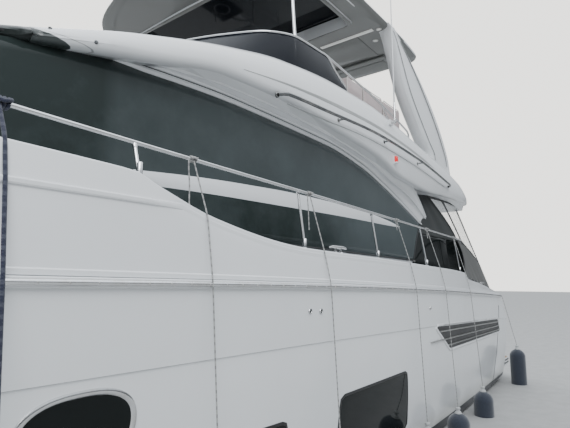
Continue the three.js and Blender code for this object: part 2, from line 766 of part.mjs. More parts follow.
// Where a fender's line ends: in the guard rail, or over the bulwark's edge at the stern.
function lineEnd(x) {
  if (x < RAIL_PATH[0][0]) return [-9340, beamAt(-9340) - 80, bulwarkTop(-9340) + 2];
  return [x, curve(RAIL_PATH, 1)(x), curve(RAIL_PATH, 2)(x)];
}

function buildUnderwater() {
  const slope = radians(SHAFT_SLOPE);
  for (const [name, side] of SIDES) {
    const y = side * SHAFT_Y;
    const along = (d) => [PROPELLER_X + d * Math.cos(slope), y, PROPELLER_Z + d * Math.sin(slope)];
    const shaft = bar(along(62 + SEAT), along(3400), 32, 12);
    const boss = bar(along(90), along(340), 62, 14);
    const strut = sidePrism(
      [[PROPELLER_X + 130, -830], [PROPELLER_X + 310, -810], [PROPELLER_X + 400, -200], [PROPELLER_X + 190, -200]],
      y - 16, y + 16,
    );
    const foot = hullBody.translate([0, 0, -SEAT]);
    piece("shaft_" + name, join(shaft, boss, strut).subtract(foot), "steel");

    let blades = turned(
      [[0, -150], [35, -120], [58, -60], [64, 0], [62, 62], [0, 62]],
      16,
    );
    for (let i = 0; i < 4; i++) {
      const blade = planPrism(
        [[-70, 40], [-165, 200], [-135, 320], [-40, PROPELLER_R], [60, PROPELLER_R - 25], [120, 260], [70, 40]],
        -7, 7,
      )
        .rotate([0, 28, 0])
        .rotate([0, 0, 90 * i]);
      blades = blades.add(blade);
    }
    const placed = blades.rotate([0, 90 - SHAFT_SLOPE, 0]).translate([PROPELLER_X, y, PROPELLER_Z]);
    piece("propeller_" + name, side > 0 ? placed : flip(placed.translate([0, 2 * SHAFT_Y, 0])), "bronze");

    const stock = bar([RUDDER_X, y, -900], [RUDDER_X, y, -200], 35.6, 24);
    const foil = planPrism(
      [[RUDDER_X + 150, y], [RUDDER_X + 110, y + 26], [RUDDER_X, y + 36], [RUDDER_X - 200, y + 24],
        [RUDDER_X - 370, y + 6], [RUDDER_X - 370, y - 6], [RUDDER_X - 200, y - 24], [RUDDER_X, y - 36],
        [RUDDER_X + 110, y - 26]],
      -1180, -520,
    );
    piece("rudder_" + name, join(stock, foil), "bronze");

    const rise = Math.atan2(720, 2220);
    const tab = join(box(-10500, -10118, 950, 1950, -14, 0), bar([TAB_X, 950, -7], [TAB_X, 1950, -7], 8, 12),
      box(-10120, TAB_X + 3, 960, 1940, -12, -2));
    const tilted = tab.rotate([(rise * 180) / Math.PI, 0, 0]).translate([0, 0, -600]);
    piece("trim_tab_" + name, side > 0 ? tilted : flip(tilted), "steel");
  }
}

function buildDeckhouseFittings() {
  const leaf = box(-6004, -5968, -960, 60, 1612, 3400);
  const feet = join(box(-6000, -5972, -900, -800, SOLE_Z + SEAT, 1620), box(-6000, -5972, -100, 0, SOLE_Z + SEAT, 1620));
  piece("saloon_door", join(leaf, feet), "glass");
}

function buildSaloon() {
  const floor = SOLE_Z + SEAT;
  const sofa = join(
    box(-4700, -1700, 1150, 1780, floor, 2050),
    box(-4700, -1700, 1600, 1780, floor, 2450),
    box(-4700, -4100, 300, 1780, floor, 2050),
    box(-4700, -4520, 300, 1780, floor, 2450),
  );
  piece("saloon_sofa", sofa, "cushion");
  piece("galley_unit", box(-5200, -2600, -1780, -1180, floor, 2520).add(box(-1900, -900, -1780, -1180, floor, 2350)
    .add(box(-2600, -1900, -1780, -1500, floor, 2350))), "wood");
  const console = sidePrism([[900, floor], [900, 2380], [1150, 2600], [1750, 2620], [1950, 2450], [1950, floor]], -1500, -300);
  piece("lower_console", console, "black");
  wheel("lower_wheel", LOWER_WHEEL);
}

// Steering wheels: the centre of each and the x of the console face that it turns on.
const LOWER_WHEEL = { x: 840, y: -900, z: 2290, face: 900 };
const UPPER_WHEEL = { x: -2420, y: -700, z: 4500, face: -2360 };

function wheel(name, { x, y, z, face }) {
  const rim = new THREE.TorusGeometry(190, 15, 6, 18);
  rim.rotateY(Math.PI / 2);
  let made = solid(rim);
  made = made.add(bar([-20, 0, 0], [face - x - SEAT, 0, 0], 38, 10));
  for (let i = 0; i < 3; i++) {
    const a = radians(90 + 120 * i);
    made = made.add(bar([0, 0, 0], [0, 190 * Math.cos(a), 190 * Math.sin(a)], 12, 4));
  }
  piece(name, made.translate([x, y, z]), "steel");
}

function buildCockpit() {
  const floor = SOLE_Z + SEAT;
  piece("cockpit_bench", join(box(-8990, -8400, -1200, 1200, floor, 2050), box(-8990, -8830, -1200, 1200, floor, 2330)), "cushion");
  piece("cockpit_table", join(box(-7950, -7250, -650, 450, 2230, 2270), box(-7660, -7540, -160, -40, floor, 2250),
    box(-7800, -7400, -300, 100, floor, 1625)), "wood");
  const [x0, x1, y0, y1] = STAIR_WELL;
  const [top, bottom] = [[x1 - 30, 3790], [-7850, floor]];
  let stairs = null;
  for (const y of [y0 + 20, y1 - 50]) {
    const side = sidePrism([[bottom[0], bottom[1]], [bottom[0] - 60, bottom[1] + 150], [top[0] - 230, top[1]],
      [top[0], top[1]], [top[0], top[1] - 60], [bottom[0] + 250, bottom[1]]], y, y + 30);
    stairs = stairs ? stairs.add(side) : side;
  }
  const treads = 9;
  for (let i = 1; i <= treads; i++) {
    const t = i / (treads + 0.4);
    const [x, z] = [mix(bottom[0], top[0] - 130, t), mix(bottom[1], top[1], t)];
    stairs = stairs.add(box(x - 90, x + 170, y0 + 21, y1 - 21, z - 30, z));
  }
  const rest = box(top[0] - 5, x1 - SEAT, y0 + 20, y1 - 20, 3700, 3760);
  piece("fly_stairs", join(stairs, rest), "steel");

  // Canvas from the bulwark and the transom up to the flybridge: the x and y of its lower and of
  // its upper edge, from port forward round the stern
  const port = [
    [-7050, 2410, -6130, 2130],
    [-8100, 2370, -7200, 2120],
    [-9120, 2320, -8050, 2000],
    [-9370, 2060, -8220, 1800],
    [-9380, 1000, -8330, 1000],
  ];
  const rows = [...port, ...port.map(([a, b, c, d]) => [a, -b, c, -d]).reverse()];
  const sheet = loft(
    rows.map(([xLow, yLow, xTop, yTop], i) => {
      const [before, after] = [rows[Math.max(i - 1, 0)], rows[Math.min(i + 1, rows.length - 1)]];
      const [dx, dy] = [after[0] - before[0], after[1] - before[1]];
      const length = Math.hypot(dx, dy);
      const [nx, ny] = [(-dy / length) * CANVAS, (dx / length) * CANVAS];
      const low = xLow > -9200 ? bulwarkTop(xLow) + 6 : CANVAS_HEM_Z;
      const outer = [[xLow, yLow, low], [xTop, yTop, 3600]];
      return [...outer, ...outer.map(([x, y, z]) => [x + nx, y + ny, z]).reverse()];
    }),
  );
  piece("canvas_enclosure", sheet.subtract(flyForm().translate([0, 0, -SEAT])), "canvas");
}

function buildFlybridgeFittings() {
  const floor = FLY_SOLE_Z + SEAT;
  // Tinted screen round the front, on the coaming
  const path = [
    [-3780, 2110, 4440, -3780], [-3330, 2110, 4770, -3370], [-2700, 2090, 4765, -2850], [-2150, 1930, 4765, -2550],
    [-1780, 1600, 4755, -2330], [-1530, 1050, 4720, -2060], [-1430, 400, 4700, -1900],
  ];
  const around = [...path, ...path.map(([x, y, z, xt]) => [x, -y, z, xt]).reverse()];
  const screen = loft(
    around.map(([x, y, z, xTop]) => {
      const out = Math.sign(y);
      return [
        [x, y, 4000], [xTop, y - out * 60, z], [xTop - 12, y - out * 72, z], [x - 12, y - out * 12, 4000],
      ];
    }),
  );
  piece("fly_windscreen", screen.subtract(flyForm().translate([0, 0, SEAT])), "glass");

  const console = sidePrism([[-2360, floor], [-2360, 4580], [-2230, 4600], [-1900, 4330], [-1900, floor]], -1250, 150);
  piece("fly_console", console, "gelcoat");
  wheel("upper_wheel", UPPER_WHEEL);
  piece("upper_seat", join(box(-3300, -2800, -1350, 50, floor, 4300), box(-3300, -3170, -1350, 50, floor, 4800)), "cushion");
  const sofa = join(
    box(-5750, -3900, 1300, 1960, floor, 4270), box(-5750, -3900, 1800, 1960, floor, 4840),
    box(-4500, -3900, 300, 1960, floor, 4270), box(-4060, -3900, 300, 1960, floor, 4840),
  );
  piece("fly_sofa", sofa, "cushion");
  piece("fly_table", join(box(-5700, -4700, 350, 1150, 4500, 4540), box(-5260, -5140, 690, 810, floor, 4510),
    box(-5350, -5050, 600, 900, floor, 3860)), "wood");
  piece("wet_bar", box(-5600, -4200, -1930, -1350, floor, 4720), "gelcoat");

  const [x0, x1, y0, y1] = STAIR_WELL;
  const lid = box(x0 - 40, x1 + 20, y0 - 40, y1 + 40, floor + 6, floor + 30);
  const pinX = x1 + 28;
  const pin = bar([pinX, y0, floor + 8], [pinX, y1, floor + 8], 8, 12).add(box(x1, pinX, y0 + 10, y1 - 10, floor + 8, floor + 15));
  piece("stair_hatch", lid.add(pin), "gelcoat");

  const rail = [
    [-3390, 2060, 4765], [-4600, 2065, 4640], [-5300, 2062, 4535], [-5730, 2045, 4475], [-6050, 1950, 4445],
    [-6250, 1770, 4440], [-7250, 1700, 4440], [-7560, 1450, 4440], [-7600, 700, 4440],
  ];
  let made = tube([...rail, ...rail.map(([x, y, z]) => [x, -y, z]).reverse()], 13, 34, 6);
  const feet = [
    [-3760, 2110, -3420, 2060, 4762], [-4000, 2110, -4350, 2064, 4668], [-4000, 2110, -3700, 2061, 4738],
    [-5000, 2100, -5000, 2064, 4580], [-6350, 1762, -6350, 1762, 4438], [-7150, 1708, -7150, 1708, 4438],
    [-7590, 900, -7590, 900, 4438],
  ];
  for (const [x, y, xTop, yTop, z] of feet) {
    for (const side of [1, -1]) {
      const low = y > 1800 ? 4200 : floor;
      made = made.add(bar([x, side * y, low], [xTop, side * yTop, z], 11, 6));
    }
  }
  piece("fly_rail", made.subtract(flyBody.subtract(box(-7640, -6000, -1800, 1800, FLY_SOLE_Z, 5000))
    .translate([0, 0, SEAT])), "steel");

  // Legs of the hardtop, swept aft and down to the coaming
  const leg = sidePrism(
    [
      [-5150, 6040], [-5250, 5960], [-5610, 5120], [-6240, 4460], [-6520, 4250], [-6560, 3950], [-7500, 3950],
      [-7470, 4260], [-7250, 4700], [-6690, 5270], [-5950, 5730], [-5400, 6040],
    ],
    1860, 2060,
  );
  // The leg leans in as it rises: 70 mm in each metre.
  const lean = leg.warp((v) => {
    v[1] += (HARDTOP_Z - v[2]) * 0.05;
  });
  const top = hardtopForm();
  for (const [name, side] of SIDES) {
    const shaped = lean.subtract(flyForm().translate([0, 0, SEAT])).subtract(top.translate([0, SEAT, -SEAT]));
    piece("arch_" + name, side > 0 ? shaped : flip(shaped), "gelcoat");
  }
  const pole = bar([-3020, 1900, 4100], [-2960, 1830, 6020], 22, 8).subtract(flyForm().translate([0, 0, SEAT]));
  const roof = top.subtract(box(-4760, -3030, -1620, 1620, 5000, 7000));
  piece("hardtop", join(roof, pole, flip(pole)), "gelcoat");
  // Sliding roof: a panel on two runners along the hardtop's crown
  const runnerZ = HARDTOP_Z + 130.6 + SEAT;
  const panel = box(-4860, -2940, -1680, 1680, HARDTOP_Z + 180, HARDTOP_Z + 210);
  const runner = box(-4850, -3080, 1650, 1676, runnerZ, HARDTOP_Z + 190);
  piece("sunroof", join(panel, runner, flip(runner)), "glass");
}

const hardtopHalf = curve([...HARDTOP].sort((a, b) => a[0] - b[0]), 1);
const hardtopCrown = curve([...HARDTOP].sort((a, b) => a[0] - b[0]), 2);
function hardtopForm() {
  const xs = [...HARDTOP.map((row) => row[0]), -6000, -4500].sort((a, b) => a - b);
  return hullLike(
    xs.map((x) => [
      [x, 0, HARDTOP_Z - 10],
      [x, hardtopHalf(x) - 120, HARDTOP_Z - 10],
      [x, hardtopHalf(x), HARDTOP_Z + 20],
      [x, hardtopHalf(x) - 15, HARDTOP_Z + 60],
      [x, hardtopHalf(x) - 320, HARDTOP_Z + hardtopCrown(x) - 20],
      [x, 0, HARDTOP_Z + hardtopCrown(x)],
    ]),
  );
}

function buildMast() {
  const top = hardtopForm().translate([0, 0, SEAT]);
  const wing = planPrism([[-5960, -1500], [-5960, 1500], [-6150, 1700], [-6480, 1700], [-6560, 1500], [-6560, -1500],
    [-6480, -1700], [-6150, -1700]], 6050, 6200);
  const domeShape = [[0, -60], [200, -60], [290, 60], [310, 200], [280, 380], [190, 490], [90, 530], [0, 540]];
  const dome = turned(domeShape, 14);
  const pedestal = bar([-6250, 0, 6150], [-6250, 0, 6760], 170, 14, 110);
  const pole = bar([-6250, 860, 6150], [-6250, 860, 7300], 18, 8);
  const light = bar([-6250, 860, 7290], [-6250, 860, 7370], 34, 10);
  const mast = join(wing, dome.translate([-6250, 1350, 6220]), dome.translate([-6250, -1350, 6220]), pedestal, pole, light);
  piece("antenna_mast", mast.subtract(top), "gelcoat");

  const hub = bar([-6250, 0, 6760 + SEAT], [-6250, 0, 6840], 70, 14);
  piece("radar_scanner", hub.add(box(-6310, -6190, -680, 680, 6830, 6930)), "gelcoat");

  const { x, y, z } = ANTENNA;
  const whip = join(
    bar([x, y, z], [x, y + 62, z], 16, 12),
    bar([x, y + 44, z], [x, y + 44, z + 260], 14, 8),
    bar([x, y + 44, z + 250], [x, y + 44, z + 2600], 6, 6, 3),
  );
  piece("vhf_antenna_port", whip, "gelcoat");
}

buildHull();
buildBulwark();
buildStrake();
buildStern();
buildForedeck();
buildGuardRail();
buildFenders();
buildUnderwater();
buildDeckhouse();
buildDeckhouseFittings();
buildSaloon();
buildCockpit();
buildFlybridge();
buildFlybridgeFittings();
buildMast();

part.name = "motor_yacht";
export default part;
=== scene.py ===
"""Looks of a flybridge motor yacht, afloat. Metres, with +X to the bow, +Y to port and +Z up.

The origin is on the waterline amidships. Each new piece is a surface worked out with numpy from
the same tables of stations as the solids it covers, and each finish is a node material.
"""

import math

import bpy
import numpy as np
from mathutils import Matrix, Vector


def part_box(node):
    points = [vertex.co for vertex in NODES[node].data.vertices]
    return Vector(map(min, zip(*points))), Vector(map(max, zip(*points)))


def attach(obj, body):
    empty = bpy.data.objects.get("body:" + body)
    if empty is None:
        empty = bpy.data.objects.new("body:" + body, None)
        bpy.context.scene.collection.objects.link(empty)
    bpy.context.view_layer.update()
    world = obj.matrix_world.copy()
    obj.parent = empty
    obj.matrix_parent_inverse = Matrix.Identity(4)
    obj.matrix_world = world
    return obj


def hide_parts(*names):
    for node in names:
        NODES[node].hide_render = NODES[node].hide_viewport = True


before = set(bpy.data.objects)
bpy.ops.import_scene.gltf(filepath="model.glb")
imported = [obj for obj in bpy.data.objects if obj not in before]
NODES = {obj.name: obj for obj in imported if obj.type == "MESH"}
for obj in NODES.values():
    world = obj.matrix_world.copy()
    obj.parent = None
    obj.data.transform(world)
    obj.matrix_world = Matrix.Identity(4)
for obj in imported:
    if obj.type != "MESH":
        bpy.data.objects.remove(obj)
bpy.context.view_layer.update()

# Places and sizes, in metres
SKIN = 0.004  # how far a smooth skin stands outside the faceted solid under it
LIP = 0.009  # how far the topsides stand out over the knuckle
STEM_HALF = 0.030  # half breadth of the stem's face
SOLE_FOOT = 1.602  # foot of the furniture on the cockpit and saloon sole
FLY_SOLE_Z = 3.83
FLY_FOOT = 3.832  # foot of the furniture on the flybridge
FLY_TIP_X = -0.13  # where the white side moulding runs out to a point over the side glass
RAIL_R = 0.0145  # guard rail
POST_TOP_R = 0.0120  # a stanchion narrows to this under the rail
ROOF_POINTS = 420  # round each ring of the hardtop's skin
HARDTOP_Z = 5.99  # the hardtop's datum, just over its underside
MAST_X = -6.25
AERIAL = (-4.65, 2.334)  # x and y of the folding aerial
HELM_Y = -0.90, -0.70  # the lower and the upper wheel
WATERLINE_BAND = 0.17  # upper edge of the dark band at the waterline
EYE = (1.0, 4.80, 2.15)  # the camera, on the dock beside the yacht
EYE_TURN = 37.48  # degrees that the view is turned from aft towards starboard
EYE_RISE = 8.03  # degrees above level
EYE_LENS = 29.12  # mm, on a 36 mm frame

# Hull stations from stern to stem: x, half breadth y and height z of the deck edge, the knuckle
# and the chine, then the x and z of the keel.
HULL_LINES = np.array([
    [-9.400, 2.420, 1.830, -9.970, 2.400, 1.300, -10.100, 2.220, 0.100, -10.100, -0.620],
    [-8.000, 2.480, 1.900, -8.200, 2.455, 1.420, -8.300, 2.280, 0.050, -8.300, -0.730],
    [-5.000, 2.570, 2.030, -5.000, 2.540, 1.530, -5.000, 2.340, 0.020, -5.000, -0.850],
    [-2.000, 2.600, 2.125, -2.000, 2.570, 1.620, -2.000, 2.340, 0.050, -2.000, -0.900],
    [1.000, 2.580, 2.185, 1.000, 2.530, 1.680, 1.000, 2.220, 0.120, 1.000, -0.880],
    [4.000, 2.420, 2.270, 3.950, 2.300, 1.760, 3.800, 1.820, 0.280, 3.600, -0.790],
    [6.500, 1.980, 2.370, 6.400, 1.780, 1.860, 6.100, 1.200, 0.520, 5.700, -0.640],
    [8.400, 1.300, 2.470, 8.200, 1.080, 1.970, 7.800, 0.620, 0.780, 7.300, -0.400],
    [9.600, 0.650, 2.545, 9.300, 0.500, 2.060, 8.800, 0.250, 1.000, 8.300, 0.000],
    [10.400, 0.030, 2.600, 10.080, 0.030, 2.130, 9.550, 0.030, 1.180, 9.000, 0.430]])
# Outward bulge of the topsides between chine and knuckle: x, metres.
BULGE = [(-10.1, 0.030), (-2.0, 0.045), (3.0, 0.010), (7.0, -0.055), (10.4, 0.0)]
# Top of the bulwark: x, z.
BULWARK_TOP = [
    (-9.4, 1.875), (-8.6, 1.990), (-7.9, 2.075), (-7.02, 2.175), (-6.98, 2.250), (-5.1, 2.330),
    (-3.7, 2.375), (-2.25, 2.412), (-1.94, 2.432), (-1.14, 2.560), (-0.68, 2.710), (-0.54, 2.770),
    (-0.3, 2.782), (4.0, 2.880), (7.0, 3.000), (10.4, 3.150)]
# Deckhouse: x, half breadth at the deck, half breadth at the roof, roof height.
HOUSE = [
    (-5.96, 2.070, 2.020, 3.500), (-5.0, 2.090, 2.030, 3.560), (-4.2, 2.100, 2.030, 3.660),
    (-3.3, 2.100, 2.030, 3.755), (-2.0, 2.100, 2.030, 3.765), (-0.8, 2.080, 2.000, 3.735),
    (0.0, 2.050, 1.940, 3.620), (0.9, 1.970, 1.800, 3.420), (1.7, 1.840, 1.600, 3.170),
    (2.3, 1.690, 1.400, 2.960), (2.9, 1.480, 1.140, 2.740)]
# Flybridge moulding: x, half breadth, lower edge, coaming top at the side, crown amidships.
FLY = [
    (-8.40, 2.150, 3.600, 3.760, 3.790), (-8.15, 2.215, 3.590, 3.880, 3.900),
    (-7.75, 2.255, 3.585, 3.975, 3.990), (-6.70, 2.280, 3.545, 4.130, 4.145),
    (-5.90, 2.290, 3.500, 4.220, 4.240), (-5.00, 2.300, 3.540, 4.320, 4.340),
    (-4.20, 2.305, 3.700, 4.375, 4.395), (-3.30, 2.310, 3.775, 4.355, 4.380),
    (-2.30, 2.305, 3.830, 4.250, 4.310), (-1.60, 2.285, 3.815, 4.095, 4.205),
    (-0.80, 2.200, 3.672, 3.880, 4.040), (0.00, 1.970, 3.555, 3.655, 3.830),
    (0.50, 1.700, 3.490, 3.560, 3.680), (0.90, 1.150, 3.435, 3.470, 3.520)]
# Upper edge of the side glazing: x, z.
GLAZING_TOP = [
    (-6.19, 3.000), (-5.49, 3.235), (-4.77, 3.450), (-4.20, 3.590), (-3.33, 3.690), (-1.96, 3.705),
    (-0.82, 3.665), (0.03, 3.550), (0.90, 3.335), (1.70, 3.090), (2.30, 2.880), (2.70, 2.735)]
# Hardtop: x, half breadth, height of the crown over the datum.
HARDTOP = [
    (-6.60, 1.900, 0.090), (-6.45, 1.990, 0.120), (-5.50, 2.035, 0.150), (-3.70, 2.020, 0.150),
    (-3.20, 1.960, 0.148), (-2.95, 1.860, 0.140), (-2.70, 1.660, 0.125), (-2.50, 1.400, 0.105),
    (-2.36, 1.050, 0.085), (-2.24, 0.550, 0.070)]
# Guard rail's port side: x, y, z.
RAIL_PATH = [
    (-7.30, 2.318, 2.830), (-6.90, 2.330, 2.839), (-5.30, 2.365, 2.873), (-3.75, 2.400, 2.905),
    (-2.30, 2.415, 2.938), (-0.60, 2.420, 2.974), (1.00, 2.405, 3.020), (2.60, 2.345, 3.075),
    (4.20, 2.220, 3.140), (5.80, 2.010, 3.220), (7.30, 1.650, 3.310), (8.60, 1.170, 3.400),
    (9.60, 0.640, 3.480), (10.25, 0.300, 3.530)]


# Curves and surfaces
def smooth(rows, column=1):
    """Cubic Hermite curve through a table's rows, the x in column 0, with slopes that are the
    harmonic mean of the neighbouring ones, so that it never overshoots. Works on whole arrays."""
    table = np.asarray(rows, float)
    xs, ys = table[:, 0], table[:, column]
    rise = np.diff(ys) / np.diff(xs)
    same = rise[:-1] * rise[1:] > 0
    total = np.where(same, rise[:-1] + rise[1:], 1.0)
    inner = np.where(same, 2 * rise[:-1] * rise[1:] / total, 0.0)
    slope = np.concatenate([rise[:1], inner, rise[-1:]])

    def at(x):
        x = np.clip(np.asarray(x, float), xs[0], xs[-1])
        i = np.clip(np.searchsorted(xs, x, side="right") - 1, 0, len(xs) - 2)
        h = xs[i + 1] - xs[i]
        t = (x - xs[i]) / h
        s = 1 - t
        return (ys[i] * (1 + 2 * t) * s * s + slope[i] * h * t * s * s
                + ys[i + 1] * (3 - 2 * t) * t * t - slope[i + 1] * h * t * t * s)

    return at


def mix(a, b, t):
    """Straight blend from a to b as t goes from 0 to 1."""
    return a + (b - a) * t


STATION_ROWS = np.column_stack([np.arange(len(HULL_LINES)), HULL_LINES])
LINES = [smooth(STATION_ROWS, column) for column in range(1, 12)]
bulge = smooth(BULGE)
bulwark_top = smooth(BULWARK_TOP)
house_base, house_side, house_roof = (smooth(HOUSE, c) for c in (1, 2, 3))
fly_half, fly_low, fly_top, fly_crown = (smooth(FLY, c) for c in (1, 2, 3, 4))
glazing_top = smooth(GLAZING_TOP)
hardtop_half, hardtop_crown = smooth(HARDTOP, 1), smooth(HARDTOP, 2)
STATIONS = np.array([0, .5, 1, 1.5, 2, 2.5, 3, 3.5, 4, 4.5, 5, 5.5, 6, 6.5, 7, 7.5, 8, 8.35, 8.7, 9])
deck_edge_x = LINES[0](STATIONS)
deck_edge_y = np.maximum(LINES[1](STATIONS), STEM_HALF)
deck_edge_z = LINES[2](STATIONS)


def beam_at(x):
    """Half breadth of the deck edge, straight between the hull's stations as in the solid."""
    return np.interp(x, deck_edge_x, deck_edge_y)


def sheer_at(x):
    """Height of the deck edge, straight between the hull's stations as in the solid."""
    return np.interp(x, deck_edge_x, deck_edge_z)


def put_mesh(name, points, faces, finish, smooth_angle=35):
    """A mesh object from whole arrays of points and quads. Points in one place become one, and a
    quad that loses a corner by that becomes a triangle."""
    points = np.asarray(points, float).reshape(-1, 3)
    faces = np.asarray(faces, np.int64)
    points, same = np.unique(np.round(points, 6), axis=0, return_inverse=True)
    merged = same.reshape(-1)[faces]
    keep = merged != np.roll(merged, -1, axis=1)
    whole = keep.sum(1) > 2
    merged, keep = merged[whole], keep[whole]
    sides = keep.sum(1)
    corners = merged[keep].astype(np.int32)
    mesh = bpy.data.meshes.new(name)
    mesh.vertices.add(len(points))
    mesh.vertices.foreach_set("co", points.astype(np.float32).ravel())
    mesh.loops.add(len(corners))
    mesh.loops.foreach_set("vertex_index", corners)
    mesh.polygons.add(len(sides))
    mesh.polygons.foreach_set("loop_start", np.concatenate([[0], np.cumsum(sides)[:-1]]).astype(np.int32))
    mesh.update(calc_edges=True)
    mesh.validate()
    mesh.shade_smooth()
    mesh.set_sharp_from_angle(angle=math.radians(smooth_angle))
    thing = bpy.data.objects.new(name, mesh)
    bpy.context.scene.collection.objects.link(thing)
    thing.data.materials.append(finish)
    return thing


def grid_faces(rows, columns, close_rows=False, close_columns=False, start=0):
    """Quads between neighbouring rows and columns of a grid of points, numbered row by row."""
    r = np.arange(rows if close_rows else rows - 1)
    c = np.arange(columns if close_columns else columns - 1)
    r, c = (a.ravel() for a in np.meshgrid(r, c, indexing="ij"))
    r2, c2 = (r + 1) % rows, (c + 1) % columns
    return start + np.column_stack([r * columns + c, r * columns + c2, r2 * columns + c2, r2 * columns + c])


def surface(name, grid, finish, turn=False, smooth_angle=35):
    """One skin over a grid of points, shaped rows by columns by 3. turn swaps inside and outside."""
    faces = grid_faces(*grid.shape[:2])
    return put_mesh(name, grid, faces[:, ::-1] if turn else faces, finish, smooth_angle)


def capped_sweep(rings):
    """Points and quads of a closed bar through rings of points, rows by n by 3, with each end
    drawn in to its own middle."""
    rings = np.asarray(rings, float)
    ends = [np.repeat(r.mean(0)[None], rings.shape[1], 0) for r in (rings[0], rings[-1])]
    grid = np.concatenate([ends[0][None], rings, ends[1][None]])
    return grid.reshape(-1, 3), grid_faces(len(grid), grid.shape[1], close_columns=True)


def outward(points, faces):
    """The faces turned so that the closed body they bound has a positive volume."""
    a, b, c = points[faces[:, 0]], points[faces[:, 1]], points[faces[:, 2]]
    d = points[faces[:, -1]]
    volume = np.einsum("ij,ij->i", a, np.cross(b, c)).sum() + np.einsum("ij,ij->i", a, np.cross(c, d)).sum()
    return faces if volume >= 0 else faces[:, ::-1]


def bodies(name, parts, finish, smooth_angle=35):
    """One object from several closed bodies, each a pair of points and quads."""
    points, faces, count = [], [], 0
    for p, f in parts:
        p = np.asarray(p, float).reshape(-1, 3)
        faces.append(outward(p, f) + count)
        points.append(p)
        count += len(p)
    return put_mesh(name, np.concatenate(points), np.concatenate(faces), finish, smooth_angle)


def frames_along(path):
    """Tangent, side and up directions at each point of a path. The side is level wherever the
    path isn't upright, and along X where it is."""
    path = np.asarray(path, float)
    tangent = np.gradient(path, axis=0)
    tangent /= np.linalg.norm(tangent, axis=1, keepdims=True)
    upright = np.abs(tangent[:, 2:3]) > 0.95
    guide = np.where(upright, [[0.0, 1.0, 0.0]], [[0.0, 0.0, 1.0]])
    side = np.cross(tangent, guide)
    side /= np.linalg.norm(side, axis=1, keepdims=True)
    return tangent, side, np.cross(side, tangent)


def along(points, count):
    """Evenly spaced points on a smooth line through the given ones, by their running length."""
    points = np.asarray(points, float)
    step = np.concatenate([[0], np.cumsum(np.linalg.norm(np.diff(points, axis=0), axis=1))])
    at = np.linspace(0, step[-1], count)
    return np.column_stack([smooth(np.column_stack([step, points[:, k]]))(at) for k in range(3)])


def tube(path, radius, sides=12, flat=1.0):
    """A round bar: at each point of the path a ring of the given radius, which may be an array,
    flattened upwards by the share flat."""
    path = np.asarray(path, float)
    _, side, up = frames_along(path)
    turn = np.linspace(0, 2 * np.pi, sides, endpoint=False)
    radius = np.broadcast_to(np.asarray(radius, float), len(path))[:, None, None]
    ring = (side[:, None] * np.cos(turn)[None, :, None] + up[:, None] * np.sin(turn)[None, :, None] * flat)
    return capped_sweep(path[:, None] + ring * radius)


def rod(a, b, radius, sides=12, radius_to=None):
    """A straight round bar from a to b."""
    ends = np.array([a, b], float)
    return tube(ends, [radius, radius if radius_to is None else radius_to], sides)


def turned(profile, centre, axis=(0, 0, 1), sides=24):
    """A turned body: the profile lists (radius, height along the axis) from end to end."""
    profile = np.asarray(profile, float)
    axis = np.asarray(axis, float) / np.linalg.norm(axis)
    guide = np.array([1.0, 0, 0]) if abs(axis[0]) < 0.9 else np.array([0, 1.0, 0])
    u = np.cross(axis, guide)
    u /= np.linalg.norm(u)
    v = np.cross(axis, u)
    turn = np.linspace(0, 2 * np.pi, sides, endpoint=False)
    ring = np.cos(turn)[:, None] * u + np.sin(turn)[:, None] * v
    rings = np.asarray(centre) + profile[:, 1, None, None] * axis + profile[:, 0, None, None] * ring
    return capped_sweep(rings)


def rounded_box(low, high, radius, steps=4):
    """A box whose twelve edges are rounded: rings of a superellipse-like rounded rectangle that
    draw in near the bottom and the top by the same quarter circle."""
    low, high = np.asarray(low, float), np.asarray(high, float)
    middle, half = (low + high) / 2, (high - low) / 2
    radius = min(radius, *(half * 0.98))
    quarter = np.linspace(0, np.pi / 2, steps)
    corners = [(1, 1, 0), (-1, 1, 1), (-1, -1, 2), (1, -1, 3)]
    rings = []
    rise = [(-half[2] + radius - radius * math.cos(a), radius * (1 - math.sin(a))) for a in quarter]
    rise += [(-z, inward) for z, inward in reversed(rise)]
    for z, inward in rise:
        ring = []
        r = max(radius - inward, 1e-4)
        for sx, sy, k in corners:
            a = quarter + k * np.pi / 2
            ring.append(np.column_stack([sx * (half[0] - radius) + r * np.cos(a),
                                         sy * (half[1] - radius) + r * np.sin(a), np.full(len(a), z)]))
        rings.append(np.concatenate(ring))
    return capped_sweep(np.array(rings) + middle)


def flip(part):
    """The same body on the other side of the centreline."""
    points, faces = part
    return np.asarray(points) * [1, -1, 1], faces


def both(*parts):
    """Each body and its mirror image."""
    return [p for part in parts for p in (part, flip(part))]


def sided(parts):
    """For port and starboard: the side's name and the bodies on it."""
    return ("port", parts), ("stbd", [flip(p) for p in parts])


def normals_of(grid):
    """Unit normals of a grid of points, from its differences along rows and columns."""
    n = np.cross(np.gradient(grid, axis=0), np.gradient(grid, axis=1))
    return n / np.maximum(np.linalg.norm(n, axis=-1, keepdims=True), 1e-12)


